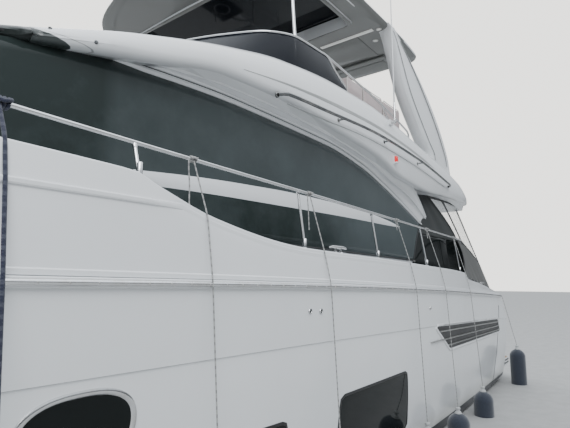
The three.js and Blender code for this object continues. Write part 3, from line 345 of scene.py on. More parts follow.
def plate_on(where, outline, proud, depth=-0.02, rim=0.93, dish=0.0):
    """Points and quads of a plate that follows a surface. where(u, v) gives the surface, outline is
    a closed loop of (u, v), and the plate's rings run from its middle to its edge, stand proud of
    the surface by a height, dished in the middle, and turn in to a depth under it at the edge."""
    outline = np.asarray(outline, float)
    middle = outline.mean(0)
    shares = np.array([0.0, 0.2, 0.4, 0.6, 0.8, rim, 1.0, 1.0, 0.0])
    lift = np.array([proud - dish] * 5 + [proud, proud * 0.5, depth, depth])
    uv = middle + (outline - middle)[None] * shares[:, None, None]
    points = where(uv[..., 0], uv[..., 1])
    e = 1e-3
    du = where(uv[..., 0] + e, uv[..., 1]) - points
    dv = where(uv[..., 0], uv[..., 1] + e) - points
    n = np.cross(du, dv)
    n /= np.linalg.norm(n, axis=-1, keepdims=True)
    n *= np.sign(n[..., 1:2] * points[..., 1:2] + 1e-12)
    grid = points + n * lift[:, None, None]
    return grid.reshape(-1, 3), grid_faces(len(shares), len(outline), close_columns=True)


# Finishes
class Finish:
    """A node material: a principled shader, and textures that read the object's own coordinates."""

    def __init__(self, name, colour, roughness, metallic=0.0, **sockets):
        self.material = bpy.data.materials.new(name)
        self.material.use_nodes = True
        self.tree = self.material.node_tree
        self.shader = self.tree.nodes["Principled BSDF"]
        self.set("Base Color", (*colour, 1.0))
        self.set("Roughness", roughness)
        self.set("Metallic", metallic)
        for socket, value in sockets.items():
            self.set(socket.replace("_", " "), value)
        self.place = self.node("ShaderNodeTexCoord").outputs["Object"]

    def set(self, socket, value):
        self.shader.inputs[socket].default_value = value

    def node(self, kind, **values):
        """A node whose attributes or inputs take the given values; a linked output links."""
        made = self.tree.nodes.new(kind)
        for key, value in values.items():
            if hasattr(made, key):
                setattr(made, key, value)
                continue
            numbered = key[0] == "i" and key[1:].isdigit()
            socket = made.inputs[int(key[1:]) if numbered else key.replace("_", " ")]
            if isinstance(value, bpy.types.NodeSocket):
                self.tree.links.new(value, socket)
            else:
                socket.default_value = value
        return made

    def math(self, operation, a, b=0.0):
        return self.node("ShaderNodeMath", operation=operation, i0=a, i1=b).outputs[0]

    def wave(self, value, pitch):
        """A sine of the value, -1 to 1, with the given number of radians to a metre."""
        return self.math("SINE", self.math("MULTIPLY", value, pitch))

    def at(self, stretch=(1, 1, 1), turn=(0, 0, 0)):
        """Object coordinates, stretched and turned."""
        return self.node("ShaderNodeMapping", Vector=self.place, Scale=stretch, Rotation=turn).outputs[0]

    def noise(self, scale, detail=3.0, rough=0.5, place=None, **more):
        return self.node("ShaderNodeTexNoise", Vector=place or self.place, Scale=scale, Detail=detail,
                         Roughness=rough, **more).outputs["Fac"]

    def split(self, place=None):
        return self.node("ShaderNodeSeparateXYZ", Vector=place or self.place).outputs

    def ramp(self, value, low, high, out_low=0.0, out_high=1.0):
        """The value's range low to high carried to another range, and held at its ends."""
        return self.node("ShaderNodeMapRange", Value=value, From_Min=low, From_Max=high, To_Min=out_low,
                         To_Max=out_high).outputs[0]

    def colour(self, share, a, b):
        """Blend of two colours; either may be a linked output."""
        made = self.tree.nodes.new("ShaderNodeMix")
        made.data_type = "RGBA"
        for socket, value in ((made.inputs[0], share), (made.inputs[6], a), (made.inputs[7], b)):
            if isinstance(value, bpy.types.NodeSocket):
                self.tree.links.new(value, socket)
            elif socket.type == "RGBA":
                socket.default_value = (*value, 1.0)
            else:
                socket.default_value = value
        return made.outputs[2]

    def done(self, colour, rough, normal):
        """Links the three outputs that every finish works out, and gives the material."""
        for socket, value in (("Base Color", colour), ("Roughness", rough), ("Normal", normal)):
            self.tree.links.new(value, self.shader.inputs[socket])
        return self.material

    def bump(self, height, depth, strength=1.0, after=None):
        """Bump of the given depth in metres for a height from 0 to 1."""
        made = self.node("ShaderNodeBump", Height=height, Distance=depth, Strength=strength)
        if after is not None:
            self.tree.links.new(after, made.inputs["Normal"])
        return made.outputs[0]


def gelcoat(name, shade=(0.80, 0.815, 0.83), band=False, decks=None, tip=False):
    """White polished gelcoat: faint unevenness of colour and gloss, a waver in the reflections and,
    below the waterline band, dark bottom paint. Level faces may carry nonskid or teak. tip draws the
    dark part under the flybridge's forward point, with a fine line over it that paints a groove's shadow."""
    f = Finish(name, shade, 0.16, Coat_Weight=0.35, Coat_Roughness=0.06, IOR=1.5)
    cloud = f.noise(0.55, 4.0, 0.6)
    dust = f.noise(9.0, 5.0, 0.65)
    soft = tuple(c * 0.945 for c in shade)
    colour = f.colour(f.ramp(cloud, 0.35, 0.7), shade, soft)
    colour = f.colour(f.ramp(dust, 0.62, 0.9, 0.0, 0.25), colour,
                      tuple(c * w for c, w in zip(shade, (0.86, 0.85, 0.80))))
    rough = f.ramp(f.noise(3.0, 5.0, 0.6), 0.3, 0.75, 0.11, 0.21)
    wave = f.noise(1.7, 2.0, 0.5)
    peel = f.noise(260.0, 2.0, 0.5)
    normal = f.bump(peel, 0.00012, 0.35, f.bump(wave, 0.004, 0.35))
    if band:
        x, _, z = f.split()
        level = f.math("ADD", z, f.ramp(f.noise(1.2, 2.0), 0, 1, -0.012, 0.012))
        below = f.ramp(level, WATERLINE_BAND - 0.004, WATERLINE_BAND + 0.004, 1.0, 0.0)
        scum = f.ramp(f.math("ADD", z, f.ramp(f.noise(14.0, 6.0, 0.7), 0, 1, -0.10, 0.10)), 0.16, 0.42,
                      0.55, 0.0)
        colour = f.colour(scum, colour, (0.46, 0.46, 0.41))
        colour = f.colour(below, colour, (0.012, 0.014, 0.020))
        rough = f.math("ADD", rough, f.math("MULTIPLY", below, 0.38))
    if tip:
        x, _, z = f.split()
        height = f.math("SUBTRACT", z, f.ramp(x, -0.55, -0.136, 3.610, 3.668))
        edge = f.math("ADD", height, f.ramp(x, -0.55, -0.136, 0.066, 0.006))
        # a fine dark line: painted shadow of a groove
        groove = f.math("MULTIPLY", f.ramp(height, -0.004, -0.002), f.ramp(height, 0.0, 0.002, 1.0, 0.0))
        dark = f.math("MAXIMUM", f.ramp(edge, -0.001, 0.001, 1.0, 0.0), f.math("MULTIPLY", groove, 0.6))
        dark = f.math("MULTIPLY", dark, f.ramp(x, -0.62, -0.52))
        colour = f.colour(dark, colour, (0.034, 0.043, 0.042))
        rough = f.math("ADD", rough, f.math("MULTIPLY", dark, 0.25))
    if decks is not None:
        facing = f.node("ShaderNodeNewGeometry").outputs["True Normal"]
        level = f.ramp(f.split(facing)[2], 0.93, 0.97)
        colour, rough, normal = decks(f, level, colour, rough, normal)
    return f.done(colour, rough, normal)


def teak_planks(f, level, colour, rough, normal, pitch=0.055, seam=0.006):
    """Planks laid along X with dark caulking between them, mixed in by the share level."""
    _, y, _ = f.split()
    row = f.math("DIVIDE", y, pitch)
    edge = f.math("ABSOLUTE", f.math("SUBTRACT", f.math("FRACT", row), 0.5))
    caulk = f.ramp(edge, 0.5 - seam / pitch / 2 - 0.02, 0.5 - seam / pitch / 2)
    plank = f.node("ShaderNodeTexWhiteNoise", noise_dimensions="1D",
                   W=f.math("FLOOR", row)).outputs["Value"]
    grain = f.noise(4.0, 8.0, 0.7, f.at((1.5, 30, 30)))
    wood = f.colour(f.ramp(grain, 0.3, 0.75), (0.36, 0.235, 0.135), (0.21, 0.13, 0.07))
    wood = f.colour(f.math("MULTIPLY", plank, 0.35), wood, (0.43, 0.33, 0.22))
    wood = f.colour(caulk, wood, (0.012, 0.012, 0.012))
    height = f.math("SUBTRACT", f.math("MULTIPLY", grain, 0.25), caulk)
    return (f.colour(level, colour, wood), f.math("ADD", rough, f.math("MULTIPLY", level, 0.42)),
            f.bump(f.math("MULTIPLY", height, level), 0.0012, 0.8, normal))


def teak(name):
    """Planking on a small part of its own."""
    f = Finish(name, (0.36, 0.235, 0.135), 0.6)
    colour, rough, normal = teak_planks(f, 1.0, (0.36, 0.235, 0.135), 0.2, None)
    return f.done(colour, rough, normal)


def nonskid(f, level, colour, rough, normal):
    """Raised diamonds moulded into level faces, slightly greyer than the polished margins."""
    x, y, _ = f.split()
    u, v = (f.math("SINE", f.math("MULTIPLY", f.math(op, x, y), 310.0)) for op in ("ADD", "SUBTRACT"))
    stud = f.ramp(f.math("MULTIPLY", u, v), 0.1, 0.6)
    grey = f.colour(f.ramp(f.noise(2.2, 6.0, 0.6), 0.3, 0.7), (0.66, 0.67, 0.66), (0.58, 0.59, 0.57))
    return (f.colour(f.math("MULTIPLY", level, 0.9), colour, grey),
            f.math("ADD", rough, f.math("MULTIPLY", level, 0.35)),
            f.bump(f.math("MULTIPLY", stud, level), 0.0010, 0.8, normal))


def tinted_glass(name, tint=(0.012, 0.017, 0.016), clear=0.0, rough=0.03, grazing_reflection=None):
    """Dark glass: a near black body under a polished face that wavers a little, with a faint film
    of dust. clear is the share that lets light through; a paler colour may be given, painted towards
    the stern as a reflection where the view meets the face at a flat angle."""
    f = Finish(name, tint, rough, IOR=1.25, Specular_IOR_Level=0.5)
    if clear:
        f.set("Alpha", 1.0 - clear)
    film = f.noise(1.3, 6.0, 0.65)
    base = tint
    if grazing_reflection:
        x, _, z = f.split()
        # paler colour towards the stern: a painted reflection at the flat angle there
        base = f.colour(f.ramp(x, -0.72, -0.60, 1.0, 0.0), tint,
                        mix(np.array(tint), np.array(grazing_reflection), 0.35).tolist())
        base = f.colour(f.ramp(x, -5.2, -1.0, 1.0, 0.0), base, grazing_reflection)
        # darker below the sill band on the forward panes: painted shade
        shaded = f.math("MULTIPLY", f.ramp(z, 2.84, 2.90, 1.0, 0.0), f.ramp(x, -4.0, -3.0))
        base = f.colour(shaded, base, tint)
    soiled = tuple(c * 1.25 + 0.003 for c in (grazing_reflection or tint))
    return f.done(f.colour(f.ramp(film, 0.4, 0.9, 0.0, 0.6), base, soiled),
                  f.ramp(f.noise(5.0, 5.0, 0.6), 0.3, 0.8, rough, rough + 0.05),
                  f.bump(f.noise(0.9, 1.5, 0.4), 0.004, 0.15))


def stainless(name="stainless", colour=(0.72, 0.73, 0.74), rough=0.13, line=(1, 60, 60)):
    """Polished stainless steel with fine drawn lines, finger marks and tea stains."""
    f = Finish(name, colour, rough, metallic=1.0)
    drawn = f.noise(14.0, 4.0, 0.6, f.at(line))
    marks = f.noise(7.0, 6.0, 0.7)
    return f.done(f.colour(f.ramp(marks, 0.45, 0.85), colour, (0.55, 0.53, 0.50)),
                  f.math("ADD", f.ramp(drawn, 0.2, 0.8, rough - 0.04, rough + 0.09),
                         f.ramp(marks, 0.5, 0.9, 0, 0.1)),
                  f.bump(drawn, 0.0002, 0.25))


def woven(name, colour, thread=0.0016, sheen=0.35, dark=0.72):
    """Plain-woven cloth: warp and weft threads over and under each other, sun-bleached patches."""
    f = Finish(name, colour, 0.88, Sheen_Weight=sheen, Sheen_Roughness=0.45)
    x, y, z = f.split()
    run = f.math("ADD", x, y)
    warp = f.wave(run, math.pi / thread)
    weft = f.wave(z, math.pi / thread)
    weave = f.ramp(f.math("MULTIPLY", warp, weft), -1, 1)
    fade = f.ramp(f.noise(0.9, 5.0, 0.6), 0.3, 0.75)
    thread_colour = f.colour(f.math("MULTIPLY", weave, 0.6), colour, tuple(c * dark for c in colour))
    return f.done(f.colour(f.math("MULTIPLY", fade, 0.4), thread_colour,
                           tuple(min(1, c * 1.35 + 0.01) for c in colour)),
                  f.ramp(weave, 0, 1, 0.80, 0.95),
                  f.bump(weave, 0.0004, 0.5, f.bump(f.noise(4.5, 4.0, 0.55), 0.006, 0.45)))


def upholstery(name, colour):
    """Soft vinyl hide: fine pebbled grain, gentle creases and a slight sheen where it is rubbed."""
    f = Finish(name, colour, 0.48, Sheen_Weight=0.15, Coat_Weight=0.08, Coat_Roughness=0.35)
    cells = f.node("ShaderNodeTexVoronoi", Vector=f.place, Scale=420.0,
                   feature="SMOOTH_F1").outputs["Distance"]
    crease = f.noise(7.0, 5.0, 0.6)
    rub = f.ramp(f.noise(2.2, 4.0, 0.6), 0.35, 0.7)
    return f.done(f.colour(f.math("MULTIPLY", rub, 0.5), colour, tuple(c * 0.80 for c in colour)),
                  f.ramp(rub, 0, 1, 0.40, 0.58),
                  f.bump(cells, 0.0006, 0.4, f.bump(crease, 0.004, 0.35)))


def knitted(name, colour):
    """A fender's knitted cover: rows of small loops and a felted nap."""
    f = Finish(name, colour, 0.92, Sheen_Weight=0.5, Sheen_Roughness=0.5)
    x, y, z = f.split()
    turn = f.math("ARCTANGENT", f.wave(x, 120.0))
    loops = f.math("SINE", f.math("ADD", f.math("MULTIPLY", z, 560.0), f.math("MULTIPLY", turn, 1.6)))
    rows = f.math("SINE", f.math("MULTIPLY", f.math("ADD", x, y), 420.0))
    knit = f.ramp(f.math("MULTIPLY", loops, rows), -1, 1)
    nap = f.noise(60.0, 6.0, 0.7)
    return f.done(f.colour(f.ramp(nap, 0.3, 0.8), colour, tuple(c * 2.2 + 0.012 for c in colour)),
                  f.ramp(knit, 0, 1, 0.85, 0.98),
                  f.bump(knit, 0.0016, 0.6, f.bump(nap, 0.001, 0.5)))


def plastic(name, colour, rough=0.4, grain=90.0, depth=0.0004, **sockets):
    """Moulded plastic, rubber or paint with a fine grain and slight dulling in patches."""
    f = Finish(name, colour, rough, **sockets)
    patch = f.noise(4.0, 5.0, 0.6)
    return f.done(f.colour(f.ramp(patch, 0.35, 0.8), colour, tuple(c * 0.82 + 0.01 for c in colour)),
                  f.ramp(patch, 0.3, 0.8, max(rough - 0.06, 0.02), rough + 0.08),
                  f.bump(f.noise(grain, 3.0, 0.5), depth, 0.4))


def laid_rope(name, light, dark):
    """Braided line: two sets of strands crossing round it, flecked with a darker yarn."""
    f = Finish(name, light, 0.85, Sheen_Weight=0.2)
    x, y, z = f.split()
    up = f.math("MULTIPLY", z, 420.0)
    round_ = f.math("MULTIPLY", f.math("ADD", x, y), 520.0)
    one = f.math("SINE", f.math("ADD", up, round_))
    two = f.math("SINE", f.math("SUBTRACT", up, round_))
    strand = f.ramp(f.math("MAXIMUM", one, two), 0, 1)
    fleck = f.ramp(f.wave(z, 130.0), 0.1, 0.5)
    return f.done(f.colour(fleck, light, dark),
                  f.ramp(strand, 0, 1, 0.95, 0.78),
                  f.bump(strand, 0.002, 0.7))


def varnished(name, light=(0.24, 0.125, 0.065), dark=(0.115, 0.055, 0.028)):
    """Straight-grained veneer under satin varnish."""
    f = Finish(name, light, 0.3, Coat_Weight=0.4, Coat_Roughness=0.15)
    rings = f.node("ShaderNodeTexWave", Vector=f.at((1, 9, 9)), Scale=2.6, Distortion=5.0, Detail=4.0,
                   Detail_Scale=1.5, bands_direction="Y").outputs["Fac"]
    pores = f.noise(28.0, 6.0, 0.7, f.at((1, 30, 30)))
    return f.done(f.colour(f.ramp(pores, 0.45, 0.8, 0, 0.6), f.colour(rings, light, dark),
                           tuple(c * 0.5 for c in dark)),
                  f.ramp(pores, 0.3, 0.8, 0.24, 0.4),
                  f.bump(pores, 0.0004, 0.4))


def bronze_cast(name):
    """Cast bronze with a brown patina that gathers in patches and ground, brighter edges."""
    f = Finish(name, (0.46, 0.31, 0.14), 0.32, metallic=1.0)
    patch = f.noise(6.0, 7.0, 0.65)
    return f.done(f.colour(f.ramp(patch, 0.4, 0.75), (0.50, 0.34, 0.15), (0.20, 0.15, 0.09)),
                  f.ramp(patch, 0.3, 0.8, 0.25, 0.6),
                  f.bump(f.noise(90.0, 4.0, 0.6), 0.0006, 0.5))


def lens(name, colour, glow=0.15):
    """A moulded navigation light's lens: clear coloured plastic with vertical flutes."""
    f = Finish(name, colour, 0.12, Coat_Weight=1.0, Coat_Roughness=0.03, Emission_Color=(*colour, 1.0),
               Emission_Strength=glow)
    x, _, _ = f.split()
    flutes = f.ramp(f.wave(x, 900.0), -1, 1)
    return f.done(f.colour(f.math("MULTIPLY", flutes, 0.5), colour, tuple(c * 0.45 for c in colour)),
                  f.ramp(flutes, 0, 1, 0.08, 0.2),
                  f.bump(flutes, 0.001, 0.5))


def vinyl(name, colour=(0.78, 0.80, 0.79), clear=0.84):
    """Clear window vinyl: mostly see-through, with a slight milkiness and ripples from rolling."""
    f = Finish(name, colour, 0.12, Specular_IOR_Level=0.6, Alpha=1.0 - clear)
    haze = f.noise(2.0, 5.0, 0.6)
    return f.done(f.colour(f.ramp(haze, 0.35, 0.75), colour, (0.82, 0.84, 0.83)),
                  f.ramp(haze, 0.3, 0.8, 0.08, 0.22),
                  f.bump(f.noise(2.6, 3.0, 0.5), 0.012, 0.5))


WHITE = gelcoat("white_gelcoat")
FLY_GEL = gelcoat("flybridge_gelcoat", tip=True)
# a little darker than WHITE: painted shade for the hull's less lit sides
TOPSIDES = gelcoat("topside_gelcoat", (0.77, 0.79, 0.805), band=True)
DECKED = gelcoat("decked_gelcoat", decks=teak_planks)
NONSKID = gelcoat("nonskid_gelcoat", decks=nonskid)
# dark grey of painted shade for the roof's downward faces and the panels under it
UNDERSIDE_SHADE = gelcoat("painted_underside_shade", (0.17, 0.175, 0.168))
# grey of painted shade: in the fly's groove, along the arch legs' panel edges, and under the fly's grab rail as
# its shadow
SHADE_GREY = plastic("painted_shade_grey", (0.34, 0.35, 0.345), 0.35)
SEAL = plastic("black_seal", (0.012, 0.012, 0.013), 0.45)
STEEL = stainless()
STEEL_DULL = stainless("satin_steel", (0.56, 0.56, 0.55), 0.28)
# dark base colour: a painted dark reflection, on the fly's grab rails and small lamps
STEEL_DARK = stainless("shaded_steel", (0.16, 0.165, 0.17), 0.16)
# the second colour is a painted reflection, paler towards the stern
SIDE_GLASS = tinted_glass("side_glass_tint", (0.022, 0.030, 0.029), grazing_reflection=(0.075, 0.090, 0.094))
FRONT_GLASS = tinted_glass("front_glass_tint")
BROW_GLASS = tinted_glass("brow_glass_tint", (0.022, 0.027, 0.026))
HULL_GLASS = tinted_glass("hull_glass_tint", (0.006, 0.008, 0.008))
SMOKED = tinted_glass("smoked_acrylic", (0.006, 0.008, 0.013), clear=0.10)
ROOF_GLASS = tinted_glass("roof_glass_tint", (0.008, 0.010, 0.013))
CANVAS = woven("charcoal_canvas", (0.028, 0.031, 0.031), sheen=0.06)
CANVAS_LIGHT = woven("faded_canvas", (0.060, 0.060, 0.056), sheen=0.08)
SEAT_HIDE = upholstery("rose_grey_hide", (0.50, 0.42, 0.415))
PALE_HIDE = upholstery("pale_hide", (0.62, 0.60, 0.57))
FENDER_KNIT = knitted("navy_knit", (0.010, 0.014, 0.024))
FENDER_CAP = plastic("fender_cap", (0.42, 0.43, 0.43), 0.45)
ROPE_GREY = laid_rope("grey_fleck_rope", (0.36, 0.36, 0.35), (0.22, 0.22, 0.22))
ROPE_NAVY = laid_rope("navy_rope", (0.018, 0.022, 0.045), (0.05, 0.055, 0.08))
BRONZE = bronze_cast("cast_bronze")
TEAK = teak("oiled_teak")
WOOD = varnished("dark_veneer")
DASH = plastic("dash_black", (0.020, 0.020, 0.022), 0.5)
RED_LENS = lens("red_lens", (0.85, 0.010, 0.012), 0.5)
GREEN_LENS = lens("green_lens", (0.01, 0.38, 0.10), 0.25)
WHITE_LENS = lens("white_lens", (0.75, 0.76, 0.74), 0.3)
VINYL = vinyl("window_vinyl")


def clothe(finish, *names):
    """Gives CAD nodes their finish."""
    for name in names:
        slots = NODES[name].data.materials
        slots.clear()
        slots.append(finish)


def place(thing, body="root", slot=None, stands_for=()):
    """Puts a new piece on its body and hides the nodes it stands for; its slot is not used."""
    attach(thing, body)
    if stands_for:
        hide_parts(*stands_for)
    return thing


# The look slot that each finish stands in.
FINISHES = {
    "gelcoat": (WHITE, UNDERSIDE_SHADE, WHITE_LENS),
    "stainless": (STEEL, STEEL_DULL, STEEL_DARK),
    "tinted_glass": (HULL_GLASS,),
    "dash": (SEAL, SHADE_GREY, DASH, RED_LENS, GREEN_LENS),
    "fender_cover": (FENDER_KNIT, FENDER_CAP, ROPE_GREY, ROPE_NAVY),
    "cushion": (PALE_HIDE, SEAT_HIDE),
    "wood": (TEAK, WOOD),
}
SLOTS = {finish.name: slot for slot, finishes in FINISHES.items() for finish in finishes}


def dress(name, parts, finish, body="root", stands_for=(), smooth_angle=35):
    """One new piece from closed bodies, put on its body."""
    return place(bodies(name, parts, finish, smooth_angle), body, SLOTS[finish.name], stands_for)


def walled(thing, thickness):
    """A wall on the inner side of an open skin."""
    wall = thing.modifiers.new("wall", "SOLIDIFY")
    wall.thickness = thickness
    wall.offset = -1
    wall.use_even_offset = False
    return thing


# Hull
def hull_lines(s, t):
    """Port side of the hull at station s and girth t: keel at 0, chine at 1, knuckle at 2, deck
    edge at 3. Straight between these lines, with the topsides' bulge and a slight swell above."""
    keel = np.stack([LINES[9](s), 0 * s, LINES[10](s)], -1)
    chine, knuckle, deck = (np.stack([LINES[k](s) for k in (c, c + 1, c + 2)], -1) for c in (6, 3, 0))
    t = np.asarray(t, float)[..., None]
    points = np.where(t < 1, mix(keel, chine, t),
                      np.where(t < 2, mix(chine, knuckle, t - 1), mix(knuckle, deck, t - 2)))
    u = np.clip(t[..., 0] - 1, 0, 1)
    swell = smooth([(0, 0.0), (0.5, 1.0), (0.8, 0.6), (1, 0.0)])(u) * bulge(chine[..., 0])
    swell = swell + smooth([(0, 0.0), (0.12, 0.013), (0.4, 0.0), (1, 0.0)])(u)
    above = np.clip(t[..., 0] - 2, 0, 1)
    points[..., 1] += swell + 0.016 * above * (1 - above)
    lowest = np.minimum(t[..., 0] / 0.03, 1) * STEM_HALF
    points[..., 1] = np.maximum(points[..., 1], lowest)
    return points


def skin_gap(x):
    """How far the hull's skin stands off the lines: more over the solid's long facets at the bow."""
    return SKIN + 0.008 * np.clip((x - 3.0) / 3.0, 0, 1)


def hull_skin_points(s, t):
    """The lines moved out to clear the faceted solid, with a lip above the knuckle."""
    grid = hull_lines(s, t)
    out = -normals_of(grid)
    lip = LIP * np.clip((t - 2.0) / 0.012, 0, 1)
    grid = grid + out * (skin_gap(grid[..., 0]) + lip)[..., None]
    grid[..., 1] = np.where(t <= 0, 0.0, np.maximum(grid[..., 1], np.minimum(t / 0.03, 1) * STEM_HALF))
    return grid


def hull_skin():
    """The hull's skin from the stem to the stern, port and starboard in one grid."""
    s = np.concatenate([np.linspace(0, 1, 30), np.linspace(1, 8, 150)[1:], np.linspace(8, 9, 40)[1:]])
    t = np.concatenate([np.linspace(0, 1, 8), np.linspace(1, 1.997, 20)[1:], [2.0, 2.012],
                        np.linspace(2.03, 3, 10)])
    s, t = np.meshgrid(s, t, indexing="ij")
    port = hull_skin_points(s, t)
    edge = port[:1] + [-SKIN, 0, 0]
    inner = edge - [0, 0.07, 0]
    inner[..., 1] = np.maximum(inner[..., 1], 0)
    turn = np.linspace(0, np.pi / 2, 7)[1:, None]
    breadth = port[-1, :, 1]
    round_stem = np.stack([np.sin(turn) * breadth, np.cos(turn) * breadth, 0 * turn * breadth], -1)
    stem = port[-1][None] * [1, 0, 1] + round_stem
    port = np.concatenate([inner, edge, port, stem])
    starboard = port[:, ::-1] * [1, -1, 1]
    grid = np.concatenate([starboard, port[:, 1:]], axis=1)
    place(surface("hull_skin", grid, TOPSIDES, smooth_angle=28), slot="gelcoat")


def side_point(x, z):
    """A point of the port topsides at x and z: bisection on the station, at the girth that has
    this height there."""
    x, z = np.broadcast_arrays(np.asarray(x, float), np.asarray(z, float))
    low, high = np.zeros(x.shape), np.full(x.shape, 9.0)

    def girth(s):
        chine, knuckle, deck = LINES[8](s), LINES[5](s), LINES[2](s)
        return np.where(z < knuckle, 1 + (z - chine) / (knuckle - chine),
                        2 + (z - knuckle) / (deck - knuckle))

    for _ in range(34):
        s = (low + high) / 2
        aft = hull_lines(s, np.clip(girth(s), 0.5, 3.2))[..., 0] < x
        low, high = np.where(aft, s, low), np.where(aft, high, s)
    t = np.clip(girth(low), 0.5, 3.2)
    points = hull_lines(low, t)
    points[..., 1] += skin_gap(x) + LIP * (t > 2)
    return points


def sheer_path(count=240):
    """The deck edge in plan, with its height: port side forward, round the stem, starboard aft."""
    s = np.concatenate([np.linspace(0, 8, count), np.linspace(8, 9, 50)[1:]])
    port = np.column_stack([LINES[k](s) for k in (0, 1, 2)])
    port[:, 1] = np.maximum(port[:, 1], STEM_HALF) + SKIN + LIP
    turn = np.linspace(0, np.pi / 2, 5)[1:-1]
    stem = port[-1] * [1, 0, 1] + np.column_stack([np.sin(turn), np.cos(turn), 0 * turn]) * port[-1, 1]
    nose = port[-1:] * [1, 0, 1] + [port[-1, 1], 0, 0]
    half = np.concatenate([port, stem])
    return np.concatenate([half, nose, half[::-1] * [1, -1, 1]])


def outward_of(path):
    """Level unit normals of a plan path, to the left of its run from port aft forwards."""
    run = np.gradient(path[:, :2], axis=0)
    run /= np.linalg.norm(run, axis=1, keepdims=True)
    return np.column_stack([-run[:, 1], run[:, 0], 0 * run[:, 0]])


def carried(path, section):
    """Rings of a closed section, rows of (outward, up), carried along a level path."""
    n = outward_of(path)
    section = np.asarray(section, float)
    out, up = (section[..., k] for k in (0, 1))
    return path[:, None] + n[:, None] * out[..., None] + np.array([0, 0, 1.0]) * up[..., None]


def rubbing_strake():
    """The strake under the sheer: a moulded carrier, a steel half round on it and its screws."""
    path = sheer_path()
    carrier = [(-0.012, -0.056), (0.016, -0.055), (0.022, -0.050), (0.022, -0.006), (0.017, -0.001),
               (-0.012, 0.0)]
    turn = np.radians(np.linspace(-90, 90, 11))
    bow = np.column_stack([0.020 + 0.018 * np.cos(turn), -0.029 + 0.018 * np.sin(turn)])
    bar = np.concatenate([bow, [(0.012, -0.011), (0.012, -0.047)]])
    dress("strake_carrier", [capped_sweep(carried(path, carrier))], WHITE)
    dress("strake_steel", [capped_sweep(carried(path, bar))], STEEL, stands_for=["rubbing_strake"])
    run = np.concatenate([[0], np.cumsum(np.linalg.norm(np.diff(path, axis=0), axis=1))])
    at = np.arange(0.12, run[-1] - 0.1, 0.15)
    spots = np.column_stack([np.interp(at, run, path[:, k]) for k in range(3)])
    normals = np.column_stack([np.interp(at, run, outward_of(path)[:, k]) for k in range(3)])
    heads = [turned([(0.0062, 0.0), (0.0062, 0.0012), (0.0035, 0.0024)], p + n * 0.0372 - [0, 0, 0.029], n, 8)
             for p, n in zip(spots, normals)]
    dress("strake_screws", heads, STEEL_DULL)


def bulwark_sections(path):
    """Closed sections of the bulwark along the deck edge: a low step, an upright face, a crease
    above which it leans inboard, a rounded cap with an inner lip, and the inner face."""
    x, low = path[:, 0], path[:, 2] + 0.001
    top = np.where(x > 10.27, 2.722, bulwark_top(x))
    crease = np.minimum(np.maximum(2.597 + 0.15 * np.clip(x - 1.0, 0, None) * 0.22, low + 0.06), top - 0.050)
    lean = 0.034 + 0.10 * np.clip(top - 0.03 - crease, 0, 1) * 1.4
    deep = np.clip((top - 0.052 - crease) / 0.05, 0, 1)
    rows = [(0.012, low), (0.004, low + 0.004), (0.004, low + 0.030), (0.007, low + 0.034),
            (0.014, low + 0.038)]
    for share in (0.25, 0.5, 0.75):
        rows.append((mix(0.014, 0.033, share), mix(low + 0.038, crease - 0.02, share)))
    rows += [(0.0335, crease - 0.020), (mix(0.034, 0.025, deep), crease - 0.017),
             (mix(0.034, 0.0215, deep), crease - 0.010), (mix(0.0345, 0.0215, deep), crease + 0.008),
             (mix(0.035, 0.0255, deep), crease + 0.016), (0.037, crease + 0.020)]
    rows += [(mix(0.037, lean, 0.5), mix(crease + 0.020, top - 0.026, 0.5)), (lean, top - 0.024)]
    for angle in (25, 50, 75, 90):
        a = math.radians(angle)
        rows.append((lean + 0.020 * (1 - math.cos(a)), top - 0.020 + 0.020 * math.sin(a)))
    rows += [(0.138, top), (0.148, top - 0.004), (0.153, top - 0.013), (0.153, top - 0.040),
             (0.146, top - 0.046),
             (0.132, top - 0.048), (0.122, mix(low, top, 0.5)), (0.108, low + 0.02), (0.104, low)]
    return np.stack([np.stack([-np.broadcast_to(i, x.shape), z - path[:, 2]], -1) for i, z in rows], 1)


def bulwark():
    """Each bulwark as one moulding swept from quarter to stem, with a slot left open at the stem."""
    path = sheer_path()
    path = path[: len(path) // 2 + 1]
    path[:, 1] = np.maximum(path[:, 1], 0.001)
    rings = carried(path, bulwark_sections(path))
    slot_side = np.where(rings[..., 2] > 2.728, 0.098, 0.0015)
    rings[..., 1] = np.maximum(rings[..., 1], np.where(rings[..., 0] > 9.7, slot_side, 0.0015))
    for name, part in sided([capped_sweep(rings)]):
        dress("bulwark_moulding_" + name, part, WHITE, stands_for=["bulwark_" + name], smooth_angle=24)


def oval(length, height, count=48, power=2.6):
    """A superellipse of (u, v) about the origin."""
    a = np.linspace(0, 2 * np.pi, count, endpoint=False)
    c, s = np.cos(a), np.sin(a)
    return np.column_stack([np.sign(c) * np.abs(c) ** (2 / power) * length / 2,
                            np.sign(s) * np.abs(s) ** (2 / power) * height / 2])


def rounded(corners, radius, steps=6):
    """A polygon of (u, v) with each corner rounded by a quadratic arc; radius may be a list."""
    corners = np.asarray(corners, float)
    radii = np.broadcast_to(radius, len(corners))
    points = []
    for i, corner in enumerate(corners):
        before, after = corners[i - 1] - corner, corners[(i + 1) % len(corners)] - corner
        a = corner + before / np.linalg.norm(before) * radii[i]
        b = corner + after / np.linalg.norm(after) * radii[i]
        t = np.linspace(0, 1, steps)[:, None]
        points.append((1 - t) ** 2 * a + 2 * t * (1 - t) * corner + t * t * b)
    return np.concatenate(points)


def rectangle(x0, x1, y0, y1):
    """The four corners of a rectangle of (u, v), in order round it."""
    return [(x0, y0), (x1, y0), (x1, y1), (x0, y1)]


def evenly(loop, count):
    """A closed loop of (u, v) with evenly spaced points."""
    closed = np.concatenate([loop, loop[:1]])
    run = np.concatenate([[0], np.cumsum(np.linalg.norm(np.diff(closed, axis=0), axis=1))])
    at = np.linspace(0, run[-1], count, endpoint=False)
    return np.column_stack([np.interp(at, run, closed[:, k]) for k in (0, 1)])


